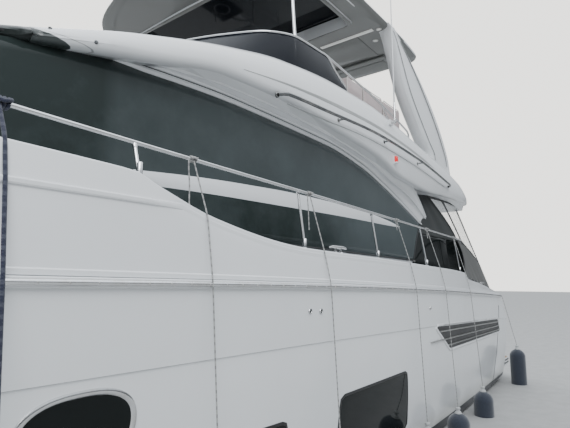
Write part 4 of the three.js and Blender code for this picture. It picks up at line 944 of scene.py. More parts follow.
def ring_on(where, outline, width, profile):
    """A raised frame that follows a closed outline on a surface: profile rows of (share of the
    width outwards, height)."""
    outline = np.asarray(outline, float)
    run = np.roll(outline, -1, 0) - np.roll(outline, 1, 0)
    n = np.column_stack([run[:, 1], -run[:, 0]]) / np.linalg.norm(run, axis=1, keepdims=True)
    if np.sum((outline - outline.mean(0)) * n) < 0:
        n = -n
    rows = []
    for share, height in profile:
        uv = outline + n * share * width
        points = where(uv[:, 0], uv[:, 1])
        e = 2e-3
        du, dv = where(uv[:, 0] + e, uv[:, 1]) - points, where(uv[:, 0], uv[:, 1] + e) - points
        up = np.cross(du, dv)
        up /= np.linalg.norm(up, axis=-1, keepdims=True)
        up *= np.sign(up[:, 1:2] * points[:, 1:2] + 1e-12)
        rows.append(points + up * height)
    grid = np.array(rows)
    return grid.reshape(-1, 3), grid_faces(len(rows), len(outline), close_rows=True, close_columns=True)


PORTHOLE = oval(0.60, 0.36, 56, 2.5) + [-0.28, 1.398]
WINDOW_A = rounded([(-2.80, 1.08), (-2.80, 0.45), (-4.46, 0.42), (-4.31, 1.07)], [0.06, 0.06, 0.06, 0.04])
WINDOW_B = rounded([(-0.95, 1.09), (-0.98, 0.47), (-2.10, 0.45), (-1.97, 1.05)], [0.06, 0.06, 0.06, 0.04])
RING = [(-0.35, -0.004), (-0.35, 0.004), (-0.15, 0.009), (0.15, 0.013), (0.6, 0.012), (0.9, 0.008),
        (1.0, 0.002), (1.0, -0.01)]


def hull_openings():
    """Hull windows and portholes with rims and seals, outlets, the quarter's seam and the engine vent."""
    panes = [plate_on(side_point, evenly(loop, 64), 0.004, dish=0.002)
             for loop in (PORTHOLE, WINDOW_A, WINDOW_B)]
    dress("hull_windows", both(*panes), HULL_GLASS)
    bright = [ring_on(side_point, evenly(PORTHOLE, 72), 0.025, RING)]
    dress("porthole_rims", both(*bright), STEEL)
    thin = [(-0.2, -0.004), (-0.2, 0.004), (0.2, 0.006), (1.0, 0.003), (1.0, -0.01)]
    frames = [ring_on(side_point, evenly(loop, 72), 0.022, thin) for loop in (WINDOW_A, WINDOW_B)]
    dress("window_seals", both(*frames), SEAL)
    spots = ((-2.20, 1.889), (-2.365, 1.88), (-5.02, 1.775))
    outlets = [ring_on(side_point, oval(0.029, 0.029, 20, 2) + spot, 0.010, RING) for spot in spots]
    dress("outlet_rings", both(*outlets), STEEL)
    plugs = [plate_on(side_point, oval(0.030, 0.030, 20, 2) + spot, 0.012) for spot in spots]
    dress("outlet_bores", both(*plugs), SEAL)
    seam = np.column_stack([np.linspace(-9.19, -9.0, 60), np.linspace(1.62, 0.05, 60)])
    dress("quarter_seam", both(tube(side_point(seam[:, 0], seam[:, 1]), 0.009, 8, 0.5)), SEAL)
    vent = rounded([(-5.27, 1.52), (-9.10, 1.365), (-9.33, 1.10), (-5.92, 1.146)], [0.04, 0.05, 0.03, 0.04])
    dress("engine_vent", both(plate_on(side_point, evenly(vent, 90), 0.003, dish=0.001)), SEAL)
    bars = []
    for share in (0.2, 0.5, 0.8):
        a = np.array([-5.36 - 0.54 * share + 0.55 * (share == 0.5), 1.508 - 0.36 * share])
        b = np.array([-9.06 - 0.18 * share, 1.36 - 0.26 * share])
        line = mix(a, b, np.linspace(0, 1, 40)[:, None])
        path = side_point(line[:, 0], line[:, 1]) + [0, 0.012, 0]
        bars.append(tube(path, 0.017, 10, 0.6))
    dress("vent_bars", both(*bars), STEEL_DULL)
    dress("vent_frame", both(ring_on(side_point, evenly(vent, 110), 0.03, RING)), WHITE)


# Deckhouse
def house_point(x, z):
    """A point of the deckhouse's port side at x and z: it leans in from the deck to the roof."""
    low, high = sheer_at(x), house_roof(x) - 0.06
    y = mix(house_base(x), house_side(x) + 0.008, np.clip((z - low) / (high - low), 0, 1.1))
    return np.stack([x, y, z + 0 * x], -1)


def glazing_low(x):
    """Lower edge of the side glazing."""
    return np.interp(x, [-5.68, -5.45, -0.5, 2.3, 2.7], [2.43, 2.43, 2.51, 2.59, 2.70])


def glazing():
    """Side panes from a raked aft edge forward, between the sill line and the roof's curve; seams
    across them, a black band along the aft and lower edges, and the pane on the house's front."""
    s = np.linspace(0, 1, 150)
    v = np.linspace(0, 1, 14)
    s, v = np.meshgrid(s, v, indexing="ij")
    x = mix(-5.77 - 0.36 * v, 2.40, s)
    top = np.minimum(glazing_top(x), house_roof(x) - 0.05)
    grid = house_point(x, mix(glazing_low(x), top, v)) + [0, SKIN, 0]
    for name, g, turn in (("port", grid, True), ("stbd", grid * [1, -1, 1], False)):
        pane = walled(surface("side_pane_" + name, g, SIDE_GLASS, turn=turn), 0.012)
        place(pane, slot="tinted_glass", stands_for=["side_glass_" + name])
    x, v = np.meshgrid(np.linspace(0.97, 2.70, 60), np.linspace(-1, 1, 40), indexing="ij")
    half = np.interp(x, [0.9, 2.7], [1.64, 1.09])
    front = np.stack([x, v * half, house_roof(x) + 0.007 - 0.003 * v * v], -1)
    place(walled(surface("front_pane", front, FRONT_GLASS), 0.012), slot="tinted_glass",
          stands_for=["windscreen"])
    seams = []
    for x, high in ((-0.563, 3.665), (-0.066, 3.555), (-2.40, 3.70), (-3.95, 3.63)):
        z = np.linspace(2.53, high, 16)
        seams.append(tube(house_point(x + 0 * z, z) + [0, SKIN + 0.0005, 0], 0.0045, 6))
    seams += [tube(grid[0] + [0.012, 0.002, 0], 0.016, 8, 0.5),
              tube(grid[:, 0] + [0, 0.002, 0.006], 0.012, 8)]
    dress("glass_seams", both(*seams), SEAL)


SILL_TOP = [(-5.30, 2.900), (-4.87, 2.955), (-3.89, 3.018), (-2.78, 3.014), (-2.0, 2.985), (-1.4, 2.952),
            (-0.85, 2.907)]
SILL_LOW = [(-5.30, 2.893), (-4.87, 2.880), (-3.9, 2.872), (-2.74, 2.852), (-1.4, 2.824), (-0.90, 2.806)]


def sill_bands():
    """The moulded bands under the deckhouse's side windows."""
    x = np.linspace(-5.28, -0.84, 120)
    top, low = smooth(SILL_TOP)(x), smooth(SILL_LOW)(x)
    middle, half = (top + low) / 2, (top - low) / 2
    rows = [(-1.0, -0.01), (-1.0, 0.010), (-0.93, 0.018), (-0.4, 0.024), (0.4, 0.024), (0.93, 0.020),
            (1.0, 0.012), (1.0, -0.01)]
    rings = np.stack([house_point(x, middle + half * v) + np.array([0, h, 0]) for v, h in rows], 1)
    dress("sill_bands", both(capped_sweep(rings)), WHITE, smooth_angle=30)


def head_mouldings():
    """Over the side glass: a bright bead, a black strip that paints the shadow in a groove, and two
    hollows with a ridge between them that sweep out under the flybridge. Aft of the deckhouse the lower
    lines run on further than the upper ones, and all draw in to a point. The bead narrows forward and
    ends behind the flybridge's tip, and forward of the tip only a black strip of painted shadow is left."""

    def row(x, out, up, dy=0.0, dz=0.0):
        """A line at a share out towards the flybridge's edge and a share up to it."""
        glass_edge = up == 0
        run_out = np.clip((-5.2 - x) / 0.7, 0, 1) ** 2
        wide = np.sqrt(1 - 0.9996 * run_out)
        out, up = out * wide, up * wide
        x = x - 0.60 * (1 - up) * run_out
        z = np.minimum(glazing_top(x) - 0.04 * np.clip(-6.19 - x, 0, 1), house_roof(x) - 0.05)
        y = house_point(x, z)[:, 1]
        ahead = np.clip((0.1 - x) / 1.2, 0, 1)
        reach = np.maximum(fly_half(np.minimum(x, 0.4)) - 0.075,
                           y + 0.03) * ahead + (y + 0.02) * (1 - ahead)
        high = np.maximum(np.maximum(fly_low(x) + 0.004, z + 0.075) * ahead + (z + 0.05) * (1 - ahead),
                          z + 0.05)
        fine = mix(0.25, 1.0, wide * np.clip((-0.40 - x) / 0.5, 0, 1) ** 0.7) if glass_edge else wide
        return np.column_stack([x, mix(y + 0.024, reach, out) + dy * fine,
                                mix(z + 0.040, high, up) + dz * fine])

    def strip(x, rows):
        return capped_sweep(np.stack([row(x, *r) for r in rows], 1))

    x = np.linspace(-5.90, FLY_TIP_X, 170)
    bead = strip(x[x < -0.40],
                 [(0, 0, -0.044, -0.056), (0, 0, -0.004, -0.056), (0, 0, 0.006, -0.050),
                  (0, 0, 0.010, -0.034), (0, 0, 0.000, -0.014), (0, 0, -0.044, -0.013)])
    # a black strip over the bead: painted shadow in the groove
    dark = strip(x[(x > -5.75) & (x < -0.40)],
                 [(0, 0, -0.054, -0.018), (0, 0, -0.014, -0.018), (0, 0, -0.014, 0.0),
                  (0, 0, -0.054, 0.001)])
    seal = strip(x[x > -5.85],
                 [(0, 0, -0.034, -0.058), (0, 0, -0.013, -0.058), (0, 0, -0.011, -0.042),
                  (0, 0, -0.034, -0.042)])
    quarter = np.radians(np.linspace(0, 90, 7))
    inner = [(0.42 * (1 - math.cos(a)), 0.50 * math.sin(a)) for a in quarter]
    ridge = [(0.42, 0.50, 0.004, -0.012), (0.42, 0.50, 0.013, -0.015), (0.42, 0.50, 0.021, -0.009),
             (0.42, 0.50, 0.022, 0.002)]
    outer = [(0.42 + 0.58 * (1 - math.cos(a)), 0.50 + 0.50 * math.sin(a), 0.022 * math.cos(a))
             for a in quarter]
    cove = strip(x, [(0, 0, -0.054, -0.002)] + inner + ridge + outer
                 + [(1, 1, 0, 0.02), (0, 1, -0.054, 0.02)])
    dress("glass_beads", both(bead), WHITE)
    x = np.linspace(FLY_TIP_X, 2.3, 90)
    # forward of the tip: a black strip of painted shadow
    brow = strip(x, [(0, 0, -0.054, -0.05), (0, 0, -0.014, -0.05), (0, 0, -0.002, -0.025),
                     (0, 0, -0.002, 0.015), (0, 0, -0.054, 0.022)])
    dress("head_seal_and_groove_shadows", both(dark, seal, brow), SEAL)
    dress("head_mouldings", both(cove), WHITE)


# Flybridge
def fly_section(x):
    """Points across the flybridge's port side, from under its edge up to the coaming's top."""
    half, low, top = fly_half(x), fly_low(x), fly_top(x)
    return [(half - 0.16, low + 0.006), (half - 0.09, low + 0.001), (half - 0.055, low - 0.002),
            (half - 0.025, low + 0.004),
            (half - 0.006, low + 0.018), (half + 0.001, low + 0.045), (half + 0.002, mix(low, top, 0.25)),
            (half, mix(low, top, 0.42)),
            (half - 0.016, mix(low, top, 0.6)), (half - 0.040, mix(low, top, 0.78)),
            (half - 0.060, mix(low, top, 0.88)),
            (half - 0.083, mix(low, top, 0.955)), (half - 0.112, top - 0.001), (half - 0.150, top + 0.007),
            (half - 0.235, top + 0.013)]


def fly_point(x, z):
    """A point of the flybridge's port side at x and height z."""
    x, z = np.broadcast_arrays(np.asarray(x, float), np.asarray(z, float))
    rows = fly_section(x)
    y, heights = np.stack([r[0] for r in rows], -1)[..., 4:12], np.stack([r[1] for r in rows], -1)[..., 4:12]
    out = np.empty(x.shape)
    for i in np.ndindex(x.shape):
        out[i] = np.interp(z[i], heights[i], y[i])
    return np.stack([x, out + SKIN, z], -1)


def fly_skin():
    """The flybridge's moulded sides, one skin to a side, dark glass forward of the tip."""
    x = np.concatenate([np.linspace(-8.404, -7.4, 24), np.linspace(-7.4, 0.1, 130)[1:],
                        np.linspace(0.1, 0.904, 24)[1:]])
    rows = fly_section(x)
    grid = np.stack([np.column_stack([x, y, z]) for y, z in rows], 1)
    grid = grid - normals_of(grid) * SKIN
    end = grid[:1] - [0, 0.08, 0]
    grid = np.concatenate([end, grid])
    tip = int(np.argmin(np.abs(grid[:, 8, 0] - FLY_TIP_X)))
    for name, rows, finish in (("", grid[:tip + 1], FLY_GEL), ("_glass", grid[tip:], BROW_GLASS)):
        for side, g, turn in (("port", rows, False), ("stbd", rows * [1, -1, 1], True)):
            skin = walled(surface("fly_side%s_%s" % (name, side), g, finish, turn=turn, smooth_angle=40), 0.012)
            place(skin, slot="tinted_glass" if name else "gelcoat")
    for name, low, high, finish in (("fly_brow", -1.52, -0.16, WHITE),
                                    ("fly_brow_glass", -0.16, 0.908, BROW_GLASS)):
        x, v = np.meshgrid(np.linspace(low, high, 34), np.linspace(-1, 1, 61), indexing="ij")
        z = mix(fly_crown(x), fly_top(x) + 0.013, v * v) + SKIN
        brow = walled(surface(name, np.stack([x, v * (fly_half(x) - 0.23), z], -1), finish), 0.010)
        place(brow, slot="gelcoat" if finish is WHITE else "tinted_glass")


def fly_trim():
    """Grab rail on the coaming in a dark steel, a painted dark reflection, with a fine grey line under
    it that paints the rail's shadow, a wide soft groove above it whose shade is a painted grey band,
    the port and starboard lights and two small lamps forward."""
    rail = along([(-2.13, 2.325, 3.810), (-2.22, 2.368, 3.830), (-2.80, 2.383, 3.855),
                  (-4.02, 2.390, 3.905), (-5.3, 2.380, 3.868), (-6.72, 2.350, 3.742), (-6.86, 2.330, 3.730),
                  (-6.90, 2.300, 3.722)], 90)
    parts = [tube(rail, 0.0175, 14)]
    for x, z in ((-3.2, 3.868), (-4.35, 3.903), (-5.5, 3.848)):
        foot = fly_point(x, z)
        parts += [rod(foot, foot + [0, 0.085, 0.0], 0.011),
                  turned([(0.024, 0), (0.024, 0.004), (0.014, 0.010)], foot, (0, 1, 0), 16)]
    for x, z in ((-2.14, 3.812), (-6.885, 3.722)):
        parts.append(turned([(0.026, -0.004), (0.026, 0.006), (0.018, 0.012)], fly_point(x, z), (0, 1, 0), 16))
    dress("fly_grab_rails", both(*parts), STEEL_DARK)
    # the soft groove: a grey band of painted shade
    x = np.linspace(-6.3, -1.70, 100)
    z = smooth([(-6.3, 3.93), (-5.6, 4.000), (-5.1, 4.035), (-4.19, 4.062), (-3.3, 4.035), (-2.46, 3.98),
                (-1.7, 3.895)])(x)
    half = 0.021 * np.clip((-1.65 - x) / 1.6, 0.12, 1) * np.clip((x + 6.35) / 0.5, 0.12, 1)
    edges = np.stack([fly_point(x, z - half), fly_point(x, z), fly_point(x, z + half)], 1)
    groove = capped_sweep(np.concatenate([edges + [0, 0.0025, 0], edges[:, ::-1] - [0, 0.004, 0]], axis=1))
    # a fine grey line under the grab rail: its painted shadow
    x = np.linspace(-6.7, -2.3, 90)
    z = smooth([(-6.9, 3.665), (-5.3, 3.800), (-4.02, 3.838), (-2.80, 3.795), (-2.22, 3.775)])(x)
    line = tube(fly_point(x, z) - [0, 0.002, 0], 0.006, 8)
    dress("fly_groove_shadows", both(groove, line), SHADE_GREY)
    low = fly_point(-4.66, 3.735)
    base = [rounded_box(low + [-0.036, -0.03, -0.062], low + [0.036, 0.010, 0.052], 0.010, 4),
            rounded_box(low + [-0.030, -0.02, -0.060], low + [0.030, 0.050, -0.040], 0.008, 4)]
    front = [rounded_box(low + [-0.026, -0.01, -0.041], low + [0.026, 0.046, 0.042], 0.016, 5)]
    for (name, case), (_, cover), glass in zip(sided(base), sided(front), (RED_LENS, GREEN_LENS)):
        dress("side_light_case_" + name, case, WHITE)
        dress("side_light_lens_" + name, cover, glass)
    lamps = []
    for spot in ((-0.235, 3.690), (-0.475, 3.664)):
        p = fly_point(*spot)
        lamps.append(turned([(0.013, -0.004), (0.013, 0.005), (0.008, 0.010), (0.004, 0.006)], p,
                            (0.2, 1, 0.2), 14))
    dress("fly_side_spots", both(*lamps), STEEL_DARK)


def fly_screen():
    """The low tinted screen round the front of the flybridge, with its steel rim."""
    rim = along([(-3.74, 2.110, 4.475), (-3.55, 2.085, 4.61), (-3.36, 2.055, 4.770), (-2.86, 2.032, 4.768),
                 (-2.55, 1.872, 4.762), (-2.33, 1.545, 4.752), (-2.06, 0.995, 4.72), (-1.91, 0.36, 4.70),
                 (-1.895, 0.0, 4.70)], 90)
    foot = along([(-3.78, 2.112, 4.38), (-3.60, 2.112, 4.38), (-3.33, 2.112, 4.38), (-2.78, 2.080, 4.33),
                  (-2.30, 1.915, 4.28), (-1.90, 1.590, 4.20), (-1.62, 1.045, 4.16), (-1.49, 0.40, 4.16),
                  (-1.475, 0.0, 4.16)], 90)
    foot[:, 2] = np.minimum(foot[:, 2], np.interp(foot[:, 0], [-3.8, -3.3, -2.3, -1.6, -1.4],
                                                  [4.375, 4.372, 4.27, 4.12, 4.08]))
    v = np.linspace(0, 1, 12)[:, None, None]
    half = mix(foot[None], rim[None], v)
    half[..., 1] += 0.012 * np.sin(np.pi * v[..., 0]) * np.sign(half[..., 1])
    grid = np.concatenate([half, half[:, -2::-1] * [1, -1, 1]], axis=1)
    glass = walled(surface("fly_screen", grid, SMOKED, turn=True), 0.010)
    place(glass, slot="tinted_glass", stands_for=["fly_windscreen"])
    edge = np.concatenate([rim, rim[-2::-1] * [1, -1, 1]])
    dress("fly_screen_rim", [tube(edge + [0, 0, 0.004], 0.013, 12)], STEEL)


def fly_rails():
    """The steel rails on the flybridge's coaming."""
    side = [(-3.39, 2.06, 4.765), (-4.0, 2.063, 4.704), (-4.60, 2.065, 4.640), (-5.30, 2.062, 4.535),
            (-5.73, 2.045, 4.475), (-6.05, 1.95, 4.445), (-6.25, 1.78, 4.440), (-7.25, 1.70, 4.440),
            (-7.50, 1.56, 4.440), (-7.60, 1.25, 4.440), (-7.60, 0.6, 4.440), (-7.60, 0, 4.440)]
    half = along(side, 130)
    parts = [tube(np.concatenate([half, half[-2::-1] * [1, -1, 1]]), RAIL_R, 14)]
    feet = [(-3.78, 2.112, 4.38, -3.42, 2.060, 4.760), (-5.07, 2.10, 4.325, -4.83, 2.064, 4.612),
            (-6.35, 1.766, FLY_SOLE_Z, -6.35, 1.770, 4.438),
            (-7.15, 1.708, FLY_SOLE_Z, -7.15, 1.708, 4.438), (-7.592, 0.9, FLY_SOLE_Z, -7.598, 0.9, 4.438)]
    for x, y, z, xt, yt, zt in feet:
        parts += both(rod((x, y, z), (xt, yt, zt), 0.0125),
                      turned([(0.034, -0.002), (0.034, 0.005), (0.018, 0.012)], (x, y, z), sides=18))
    dress("fly_rails", parts, STEEL, stands_for=["fly_rail"])


# Hardtop
LEG_FORE = [(0, -6.560, 3.950), (0.16, -6.520, 4.250), (0.26, -6.240, 4.460), (0.55, -5.610, 5.120),
            (0.92, -5.250, 5.960), (1.0, -5.150, 6.03)]
LEG_AFT = [(0, -7.500, 3.950), (0.16, -7.470, 4.260), (0.30, -7.250, 4.700), (0.55, -6.690, 5.270),
           (0.85, -5.950, 5.730), (1.0, -5.400, 6.03)]


def arch_legs():
    """Each leg is a band between a fore and an aft edge, both smooth curves, with a rounded
    rectangle for its section and a shallow panel let into its outer face."""
    u = np.linspace(0, 1, 60)
    fore = np.column_stack([smooth(LEG_FORE, 1)(u), smooth(LEG_FORE, 2)(u)])
    aft = np.column_stack([smooth(LEG_AFT, 1)(u), smooth(LEG_AFT, 2)(u)])
    across = [(0.0, 0.40), (0.004, 0.30), (0.02, 0.10), (0.05, 0.02), (0.09, 0.0), (0.17, 0.0),
              (0.19, 0.045), (0.21, 0.05), (0.5, 0.052), (0.79, 0.05), (0.81, 0.045), (0.83, 0.0),
              (0.91, 0.0), (0.95, 0.02), (0.98, 0.10), (0.996, 0.30), (1.0, 0.40)]
    loop = across + [(c, 1 - d) for c, d in across[::-1] if d < 0.03 or d > 0.25]
    rings = []
    ends = np.clip(np.minimum(u / 0.1, (1 - u) / 0.1), 0, 1)
    for share, depth in loop:
        depth = depth * ends if 0.18 < share < 0.82 and depth < 0.06 else depth + 0 * u
        xz = fore + (aft - fore) * share
        y = 2.064 - 0.208 * depth + (HARDTOP_Z - xz[:, 1]) * 0.05
        rings.append(np.column_stack([xz[:, 0], y, xz[:, 1]]))
    rings = np.stack(rings, 1)
    for name, part in sided([capped_sweep(rings)]):
        dress("arch_leg_" + name, part, WHITE, stands_for=["arch_" + name], smooth_angle=40)
    # grey lines along the panel's edges: painted shadow
    u = np.linspace(0.12, 0.93, 50)
    lines = []
    for share in (0.19, 0.81):
        xz = np.column_stack([mix(smooth(LEG_FORE, k)(u), smooth(LEG_AFT, k)(u), share) for k in (1, 2)])
        lines.append(tube(np.column_stack([xz[:, 0], 2.0635 + (HARDTOP_Z - xz[:, 1]) * 0.05, xz[:, 1]]),
                          0.009, 8, 0.6))
    dress("arch_leg_shadow_lines", both(*lines), SHADE_GREY)


# Guard rail, fenders and their lines
def guard_rail():
    """The rail is a round bar on a smooth line round the bow. Each stanchion narrows upwards from a
    turned socket on the cap to a small collar under the rail."""
    port = np.array(RAIL_PATH)
    line = along(np.concatenate([port, [(10.42, 0, 3.54)], port[::-1] * [1, -1, 1]]), 520)
    parts = [tube(line, RAIL_R, 16)]
    socket = [(0.034, -0.004), (0.036, 0.003), (0.026, 0.009), (0.0175, 0.014), (0.0175, 0.085),
              (0.0145, 0.090)]
    for x, y, z in RAIL_PATH[1:-1]:
        foot = np.array([x, beam_at(x) - 0.11, bulwark_top(x)])
        top = np.array([x, y, z - 0.010])
        collar = turned([(0.0130, -0.030), (0.0165, -0.012), (0.0165, 0.0)], top, top - foot, 14)
        parts += both(rod(foot, top, RAIL_R, 14, POST_TOP_R), turned(socket, foot, sides=20), collar)
    for sign in (1, -1):
        knob = turned([(0.010, -0.018), (0.0175, -0.014), (0.019, 0.0), (0.015, 0.012), (0.006, 0.018)],
                      port[0] * [1, sign, 1], (1, 0, 0), 16)
        parts.append(knob)
    dress("guard_rail_steel", parts, STEEL, stands_for=["guard_rail"])


# Fenders: x and y of each, the height of its middle, and the x where its line crosses the strake.
FENDERS = [(-9.85, 2.600, 0.220, -9.40), (-7.05, 2.625, -0.110, -6.87), (-5.76, 2.630, -0.160, -5.57),
           (-4.59, 2.640, -0.085, -4.45), (-2.60, 2.660, -0.120, -2.47), (-1.16, 2.670, -0.120, -1.06),
           (0.10, 2.670, -0.120, 0.16)]
NAVY_LINE = 7  # the fender that hangs on a thick navy line
FENDER_HALF = 0.48
FENDER_R = 0.150
SOLID_FENDERS = 5  # the fenders past these stand for no solid of the CAD


def fender_line(number, x, y, middle, line_x):
    """The line starts round the rail, crosses the bulwark's edge and the strake, and ends in the
    fender's eye: straight between these, with a short rounded bend at each."""
    aft = line_x < RAIL_PATH[0][0]
    thick = 0.0105 if number == NAVY_LINE else 0.0050
    finish = ROPE_NAVY if number == NAVY_LINE else ROPE_GREY
    rail = np.array([line_x, smooth(RAIL_PATH, 1)(line_x) + 0.010, smooth(RAIL_PATH, 2)(line_x)])
    if aft:
        rail = np.array([-9.34, beam_at(-9.34) - 0.10, bulwark_top(-9.34) + 0.012])
    over = np.array([line_x, beam_at(line_x) + 0.045 + thick, sheer_at(line_x) - 0.01])
    cap = np.array([line_x, beam_at(line_x) + thick - 0.018, min(bulwark_top(line_x) - 0.02, 2.60)])
    eye = np.array([x, y, middle + FENDER_HALF + 0.075])
    bends = [rail, cap, over, eye]
    if cap[2] + 0.05 < bulwark_top(line_x):
        brink = np.array([line_x, beam_at(line_x) + thick - 0.060, bulwark_top(line_x) + 0.004])
        bends.insert(1, brink)
    path = [bends[0]]
    for before, bend, after in zip(bends, bends[1:], bends[2:]):
        a, b = (bend + (p - bend) * min(0.06 / np.linalg.norm(p - bend), 0.4) for p in (before, after))
        t = np.linspace(0, 1, 7)[:, None]
        path += list((1 - t) ** 2 * a + 2 * t * (1 - t) * bend + t * t * b)
    path = np.array(path + [bends[-1]])
    pieces = [np.linspace(p, q, max(2, int(np.linalg.norm(q - p) / 0.12) + 1))[:-1]
              for p, q in zip(path, path[1:])]
    path = np.concatenate(pieces + [path[-1:]])
    rope = dress("fender_line_%d" % number, [tube(path, thick, 12)], finish)
    if aft:
        return
    a = np.linspace(0, 2 * np.pi * 4.5, 90)
    spread = 4.6 * thick
    lift = RAIL_R + thick
    wound = np.column_stack([spread * (a / a[-1] - 0.5) * 2, lift * np.sin(a), lift * np.cos(a)])
    turns = [tube(rail - [0, 0.010, 0] + wound, thick, 10)]
    back = np.column_stack([np.linspace(-spread, spread, 24), 0.010 * np.sin(np.linspace(0, 6, 24)),
                            0.006 * np.cos(np.linspace(0, 9, 24))])
    turns.append(tube(rail + [0, lift + thick - 0.006, 0.004] + back, thick, 10))
    if number < NAVY_LINE:
        t = np.linspace(0, 1, 24)[:, None]
        fall = [-0.01, 0.010, -0.33 if number > 4 else -0.12]
        tail = rail + [0.052, 0.014, -0.014] + t * fall + np.sin(t * 9) * [0.004, 0.002, 0]
        turns.append(tube(tail, np.append(np.full(23, thick * 0.95), thick * 1.3), 10))
    dress("fender_hitch_%d" % number, turns, finish)


def fender(number, x, y, middle):
    """A blown cylinder with domed ends in a knitted cover, drawn in by a cord at each end, and a
    moulded eye above and below."""
    h, r = FENDER_HALF, FENDER_R
    dome = [(r * math.cos(a), h - 0.15 + 0.15 * math.sin(a)) for a in np.radians(np.linspace(0, 72, 10))]
    seam = [(r * (1 - 0.012 * math.exp(-((z - h + 0.17) / 0.006) ** 2)), z)
            for z in np.linspace(0, h - 0.16, 22)]
    upper = seam + dome + [(0.043, h - 0.004), (0.040, h + 0.001)]
    profile = [(rr, -z) for rr, z in upper[::-1]] + upper[1:]
    dress("fender_cover_%d" % number, [turned(profile, (x, y, middle), sides=44)], FENDER_KNIT,
                  stands_for=["fender_%d" % number] if number <= SOLID_FENDERS else ())
    eyes = []
    for sign in (1, -1):
        top = np.array([x, y, middle + sign * (h - 0.003)])
        neck = [(0.040, 0.0), (0.043, 0.010), (0.038, 0.022), (0.027, 0.030), (0.022, 0.046),
                (0.030, 0.052), (0.033, 0.062), (0.030, 0.074), (0.018, 0.080)]
        eyes.append(turned(neck, top, (0, 0, sign), 24))
        ring = [(0.043, 0.0), (0.049, 0.004), (0.049, 0.010), (0.043, 0.013)]
        eyes.append(turned(ring, top - [0, 0, sign * 0.006], (0, 0, sign), 32))
    dress("fender_eyes_%d" % number, eyes, FENDER_CAP)


def fenders():
    """The fenders and their lines."""
    for number, (x, y, middle, line_x) in enumerate(FENDERS, 1):
        fender(number, x, y, middle)
        fender_line(number, x, y, middle, line_x)


# Canvas across the cockpit: x and y of its lower and of its upper edge, from port forward aft.
CANVAS_PORT = [(-7.05, 2.41, -6.13, 2.13), (-8.10, 2.37, -7.20, 2.12), (-9.12, 2.32, -8.05, 2.00),
               (-9.37, 2.06, -8.22, 1.80), (-9.38, 1.00, -8.33, 1.00), (-9.385, 0.0, -8.34, 0.0)]
CANVAS_FORE = [(0, 0.13), (0.40, 0.62), (0.56, 0.56), (1.0, 0.04)]


def canvas_point(u, v):
    """The stretched cloth: u counts the table's rows from forward, v rises from hem to head. Both
    edges are smooth curves in u, straight lines join them, and between its poles the cloth bellies
    out a little and ripples near its tight corners."""
    rows = np.array(CANVAS_PORT)
    steps = np.arange(len(rows), dtype=float)
    xl, yl, xh, yh = (smooth(np.column_stack([steps, rows[:, k]]))(u) for k in range(4))
    hem = np.where(xl > -9.0, bulwark_top(xl) + 0.010,
                   mix(bulwark_top(-9.0) + 0.010, 1.890, np.clip((-9.0 - xl) / 0.3, 0, 1)))
    head = fly_low(np.maximum(xh, -8.4)) + 0.03
    x, y, z = mix(xl, xh, v), mix(yl, yh, v), mix(hem, head, v)
    between = np.sin(np.pi * np.clip(u - np.floor(u), 0, 1)) ** 2 * np.sin(np.pi * v)
    ripple = (0.004 * np.sin(u * 23 + 5 * v) * np.exp(-v * 7)
              + 0.003 * np.sin(u * 31 - 4 * v) * np.exp(-(1 - v) * 9))
    belly = 0.012 * between + ripple
    side = np.clip(2.0 - u, 0, 1)
    return np.stack([x - belly * (1 - side) - 0.016, y + belly * side + 0.004, z], -1)


def canvas_patch(start, end, low, high, columns, rows):
    """A patch of the cloth. start and end are (place, u(v)), low and high give v at a place, and the
    places between the two say where along the cloth a column stands, so that neighbours meet."""
    s, t = np.linspace(0, 1, columns)[None], np.linspace(0, 1, rows)[:, None]
    at = mix(start[0], end[0], s)
    v = mix(low(at), high(at), t)
    return canvas_point(mix(start[1](v), end[1](v), s), v)


CORNER_END = 2.28  # where the grey corner ends and the after window starts, along the cloth
AFT_SILL = 0.36  # foot of the after windows, as a share of the cloth's height
CANVAS_HEAD = 0.94  # head of all the windows


def held(value):
    """The same value everywhere."""
    return lambda at: value + 0 * at


def zip_line(v):
    """Where the zip runs between the two side windows."""
    return mix(0.92, 0.70, np.clip((v - 0.46) / 0.5, 0, 1))


def corner_line(v):
    """Where the side windows end, just ahead of the cloth's turn across the stern."""
    return 2.06 - 0.16 * v


def window_sill(at):
    """Height of the side windows' lower edge, which falls towards the corner."""
    return mix(0.50, 0.27, np.clip((at - 0.92) / 0.9, 0, 1))


def both_skins(name, grids, finish, thickness, slot):
    """Open skins and their mirror images in one walled piece."""
    points, faces, count = [], [], 0
    for grid in grids:
        for g, turn in ((grid, False), (grid * [1, -1, 1], True)):
            f = grid_faces(*g.shape[:2])
            faces.append((f[:, ::-1] if turn else f) + count)
            points.append(g.reshape(-1, 3))
            count += len(points[-1])
    made = put_mesh(name, np.concatenate(points), np.concatenate(faces), finish)
    return place(walled(made, thickness), slot=slot)


def binding(u_of, v, thickness=0.003):
    """A strip of the cloth between u_of(v) for each of seven columns, lifted off it outwards."""
    grid = canvas_point(u_of(v[:, None], np.linspace(-1, 1, 7)[None]), v[:, None] + np.zeros((1, 7)))
    return grid - normals_of(grid) * thickness


def wing(v):
    """Forward edge of the side curtain: on the deckhouse's side, along the glass's raked aft edge."""
    z = mix(bulwark_top(-6.0) - 0.03, fly_low(-6.05) + 0.03, v)
    rake = np.clip((z - 2.43) / 0.57, 0, 1)
    x = -5.73 - 0.36 * rake
    return np.stack([x, house_point(x, z)[..., 1] + SKIN + 0.010 + 0 * v, z], -1)


def curtain(v0, v1, rows, columns=16):
    """A flat patch from the deckhouse's corner to the forward edge of the windowed cloth."""
    v, s = np.meshgrid(np.linspace(v0, v1, rows), np.linspace(0, 1, columns), indexing="ij")
    aft = canvas_point(smooth(CANVAS_FORE)(v) + 0.02, v)
    fold = 0.006 * np.sin(s * 17 + v * 3) * np.sin(np.pi * s)
    return mix(wing(v), aft, s[..., None]) + fold[..., None] * [0, 1, 0]


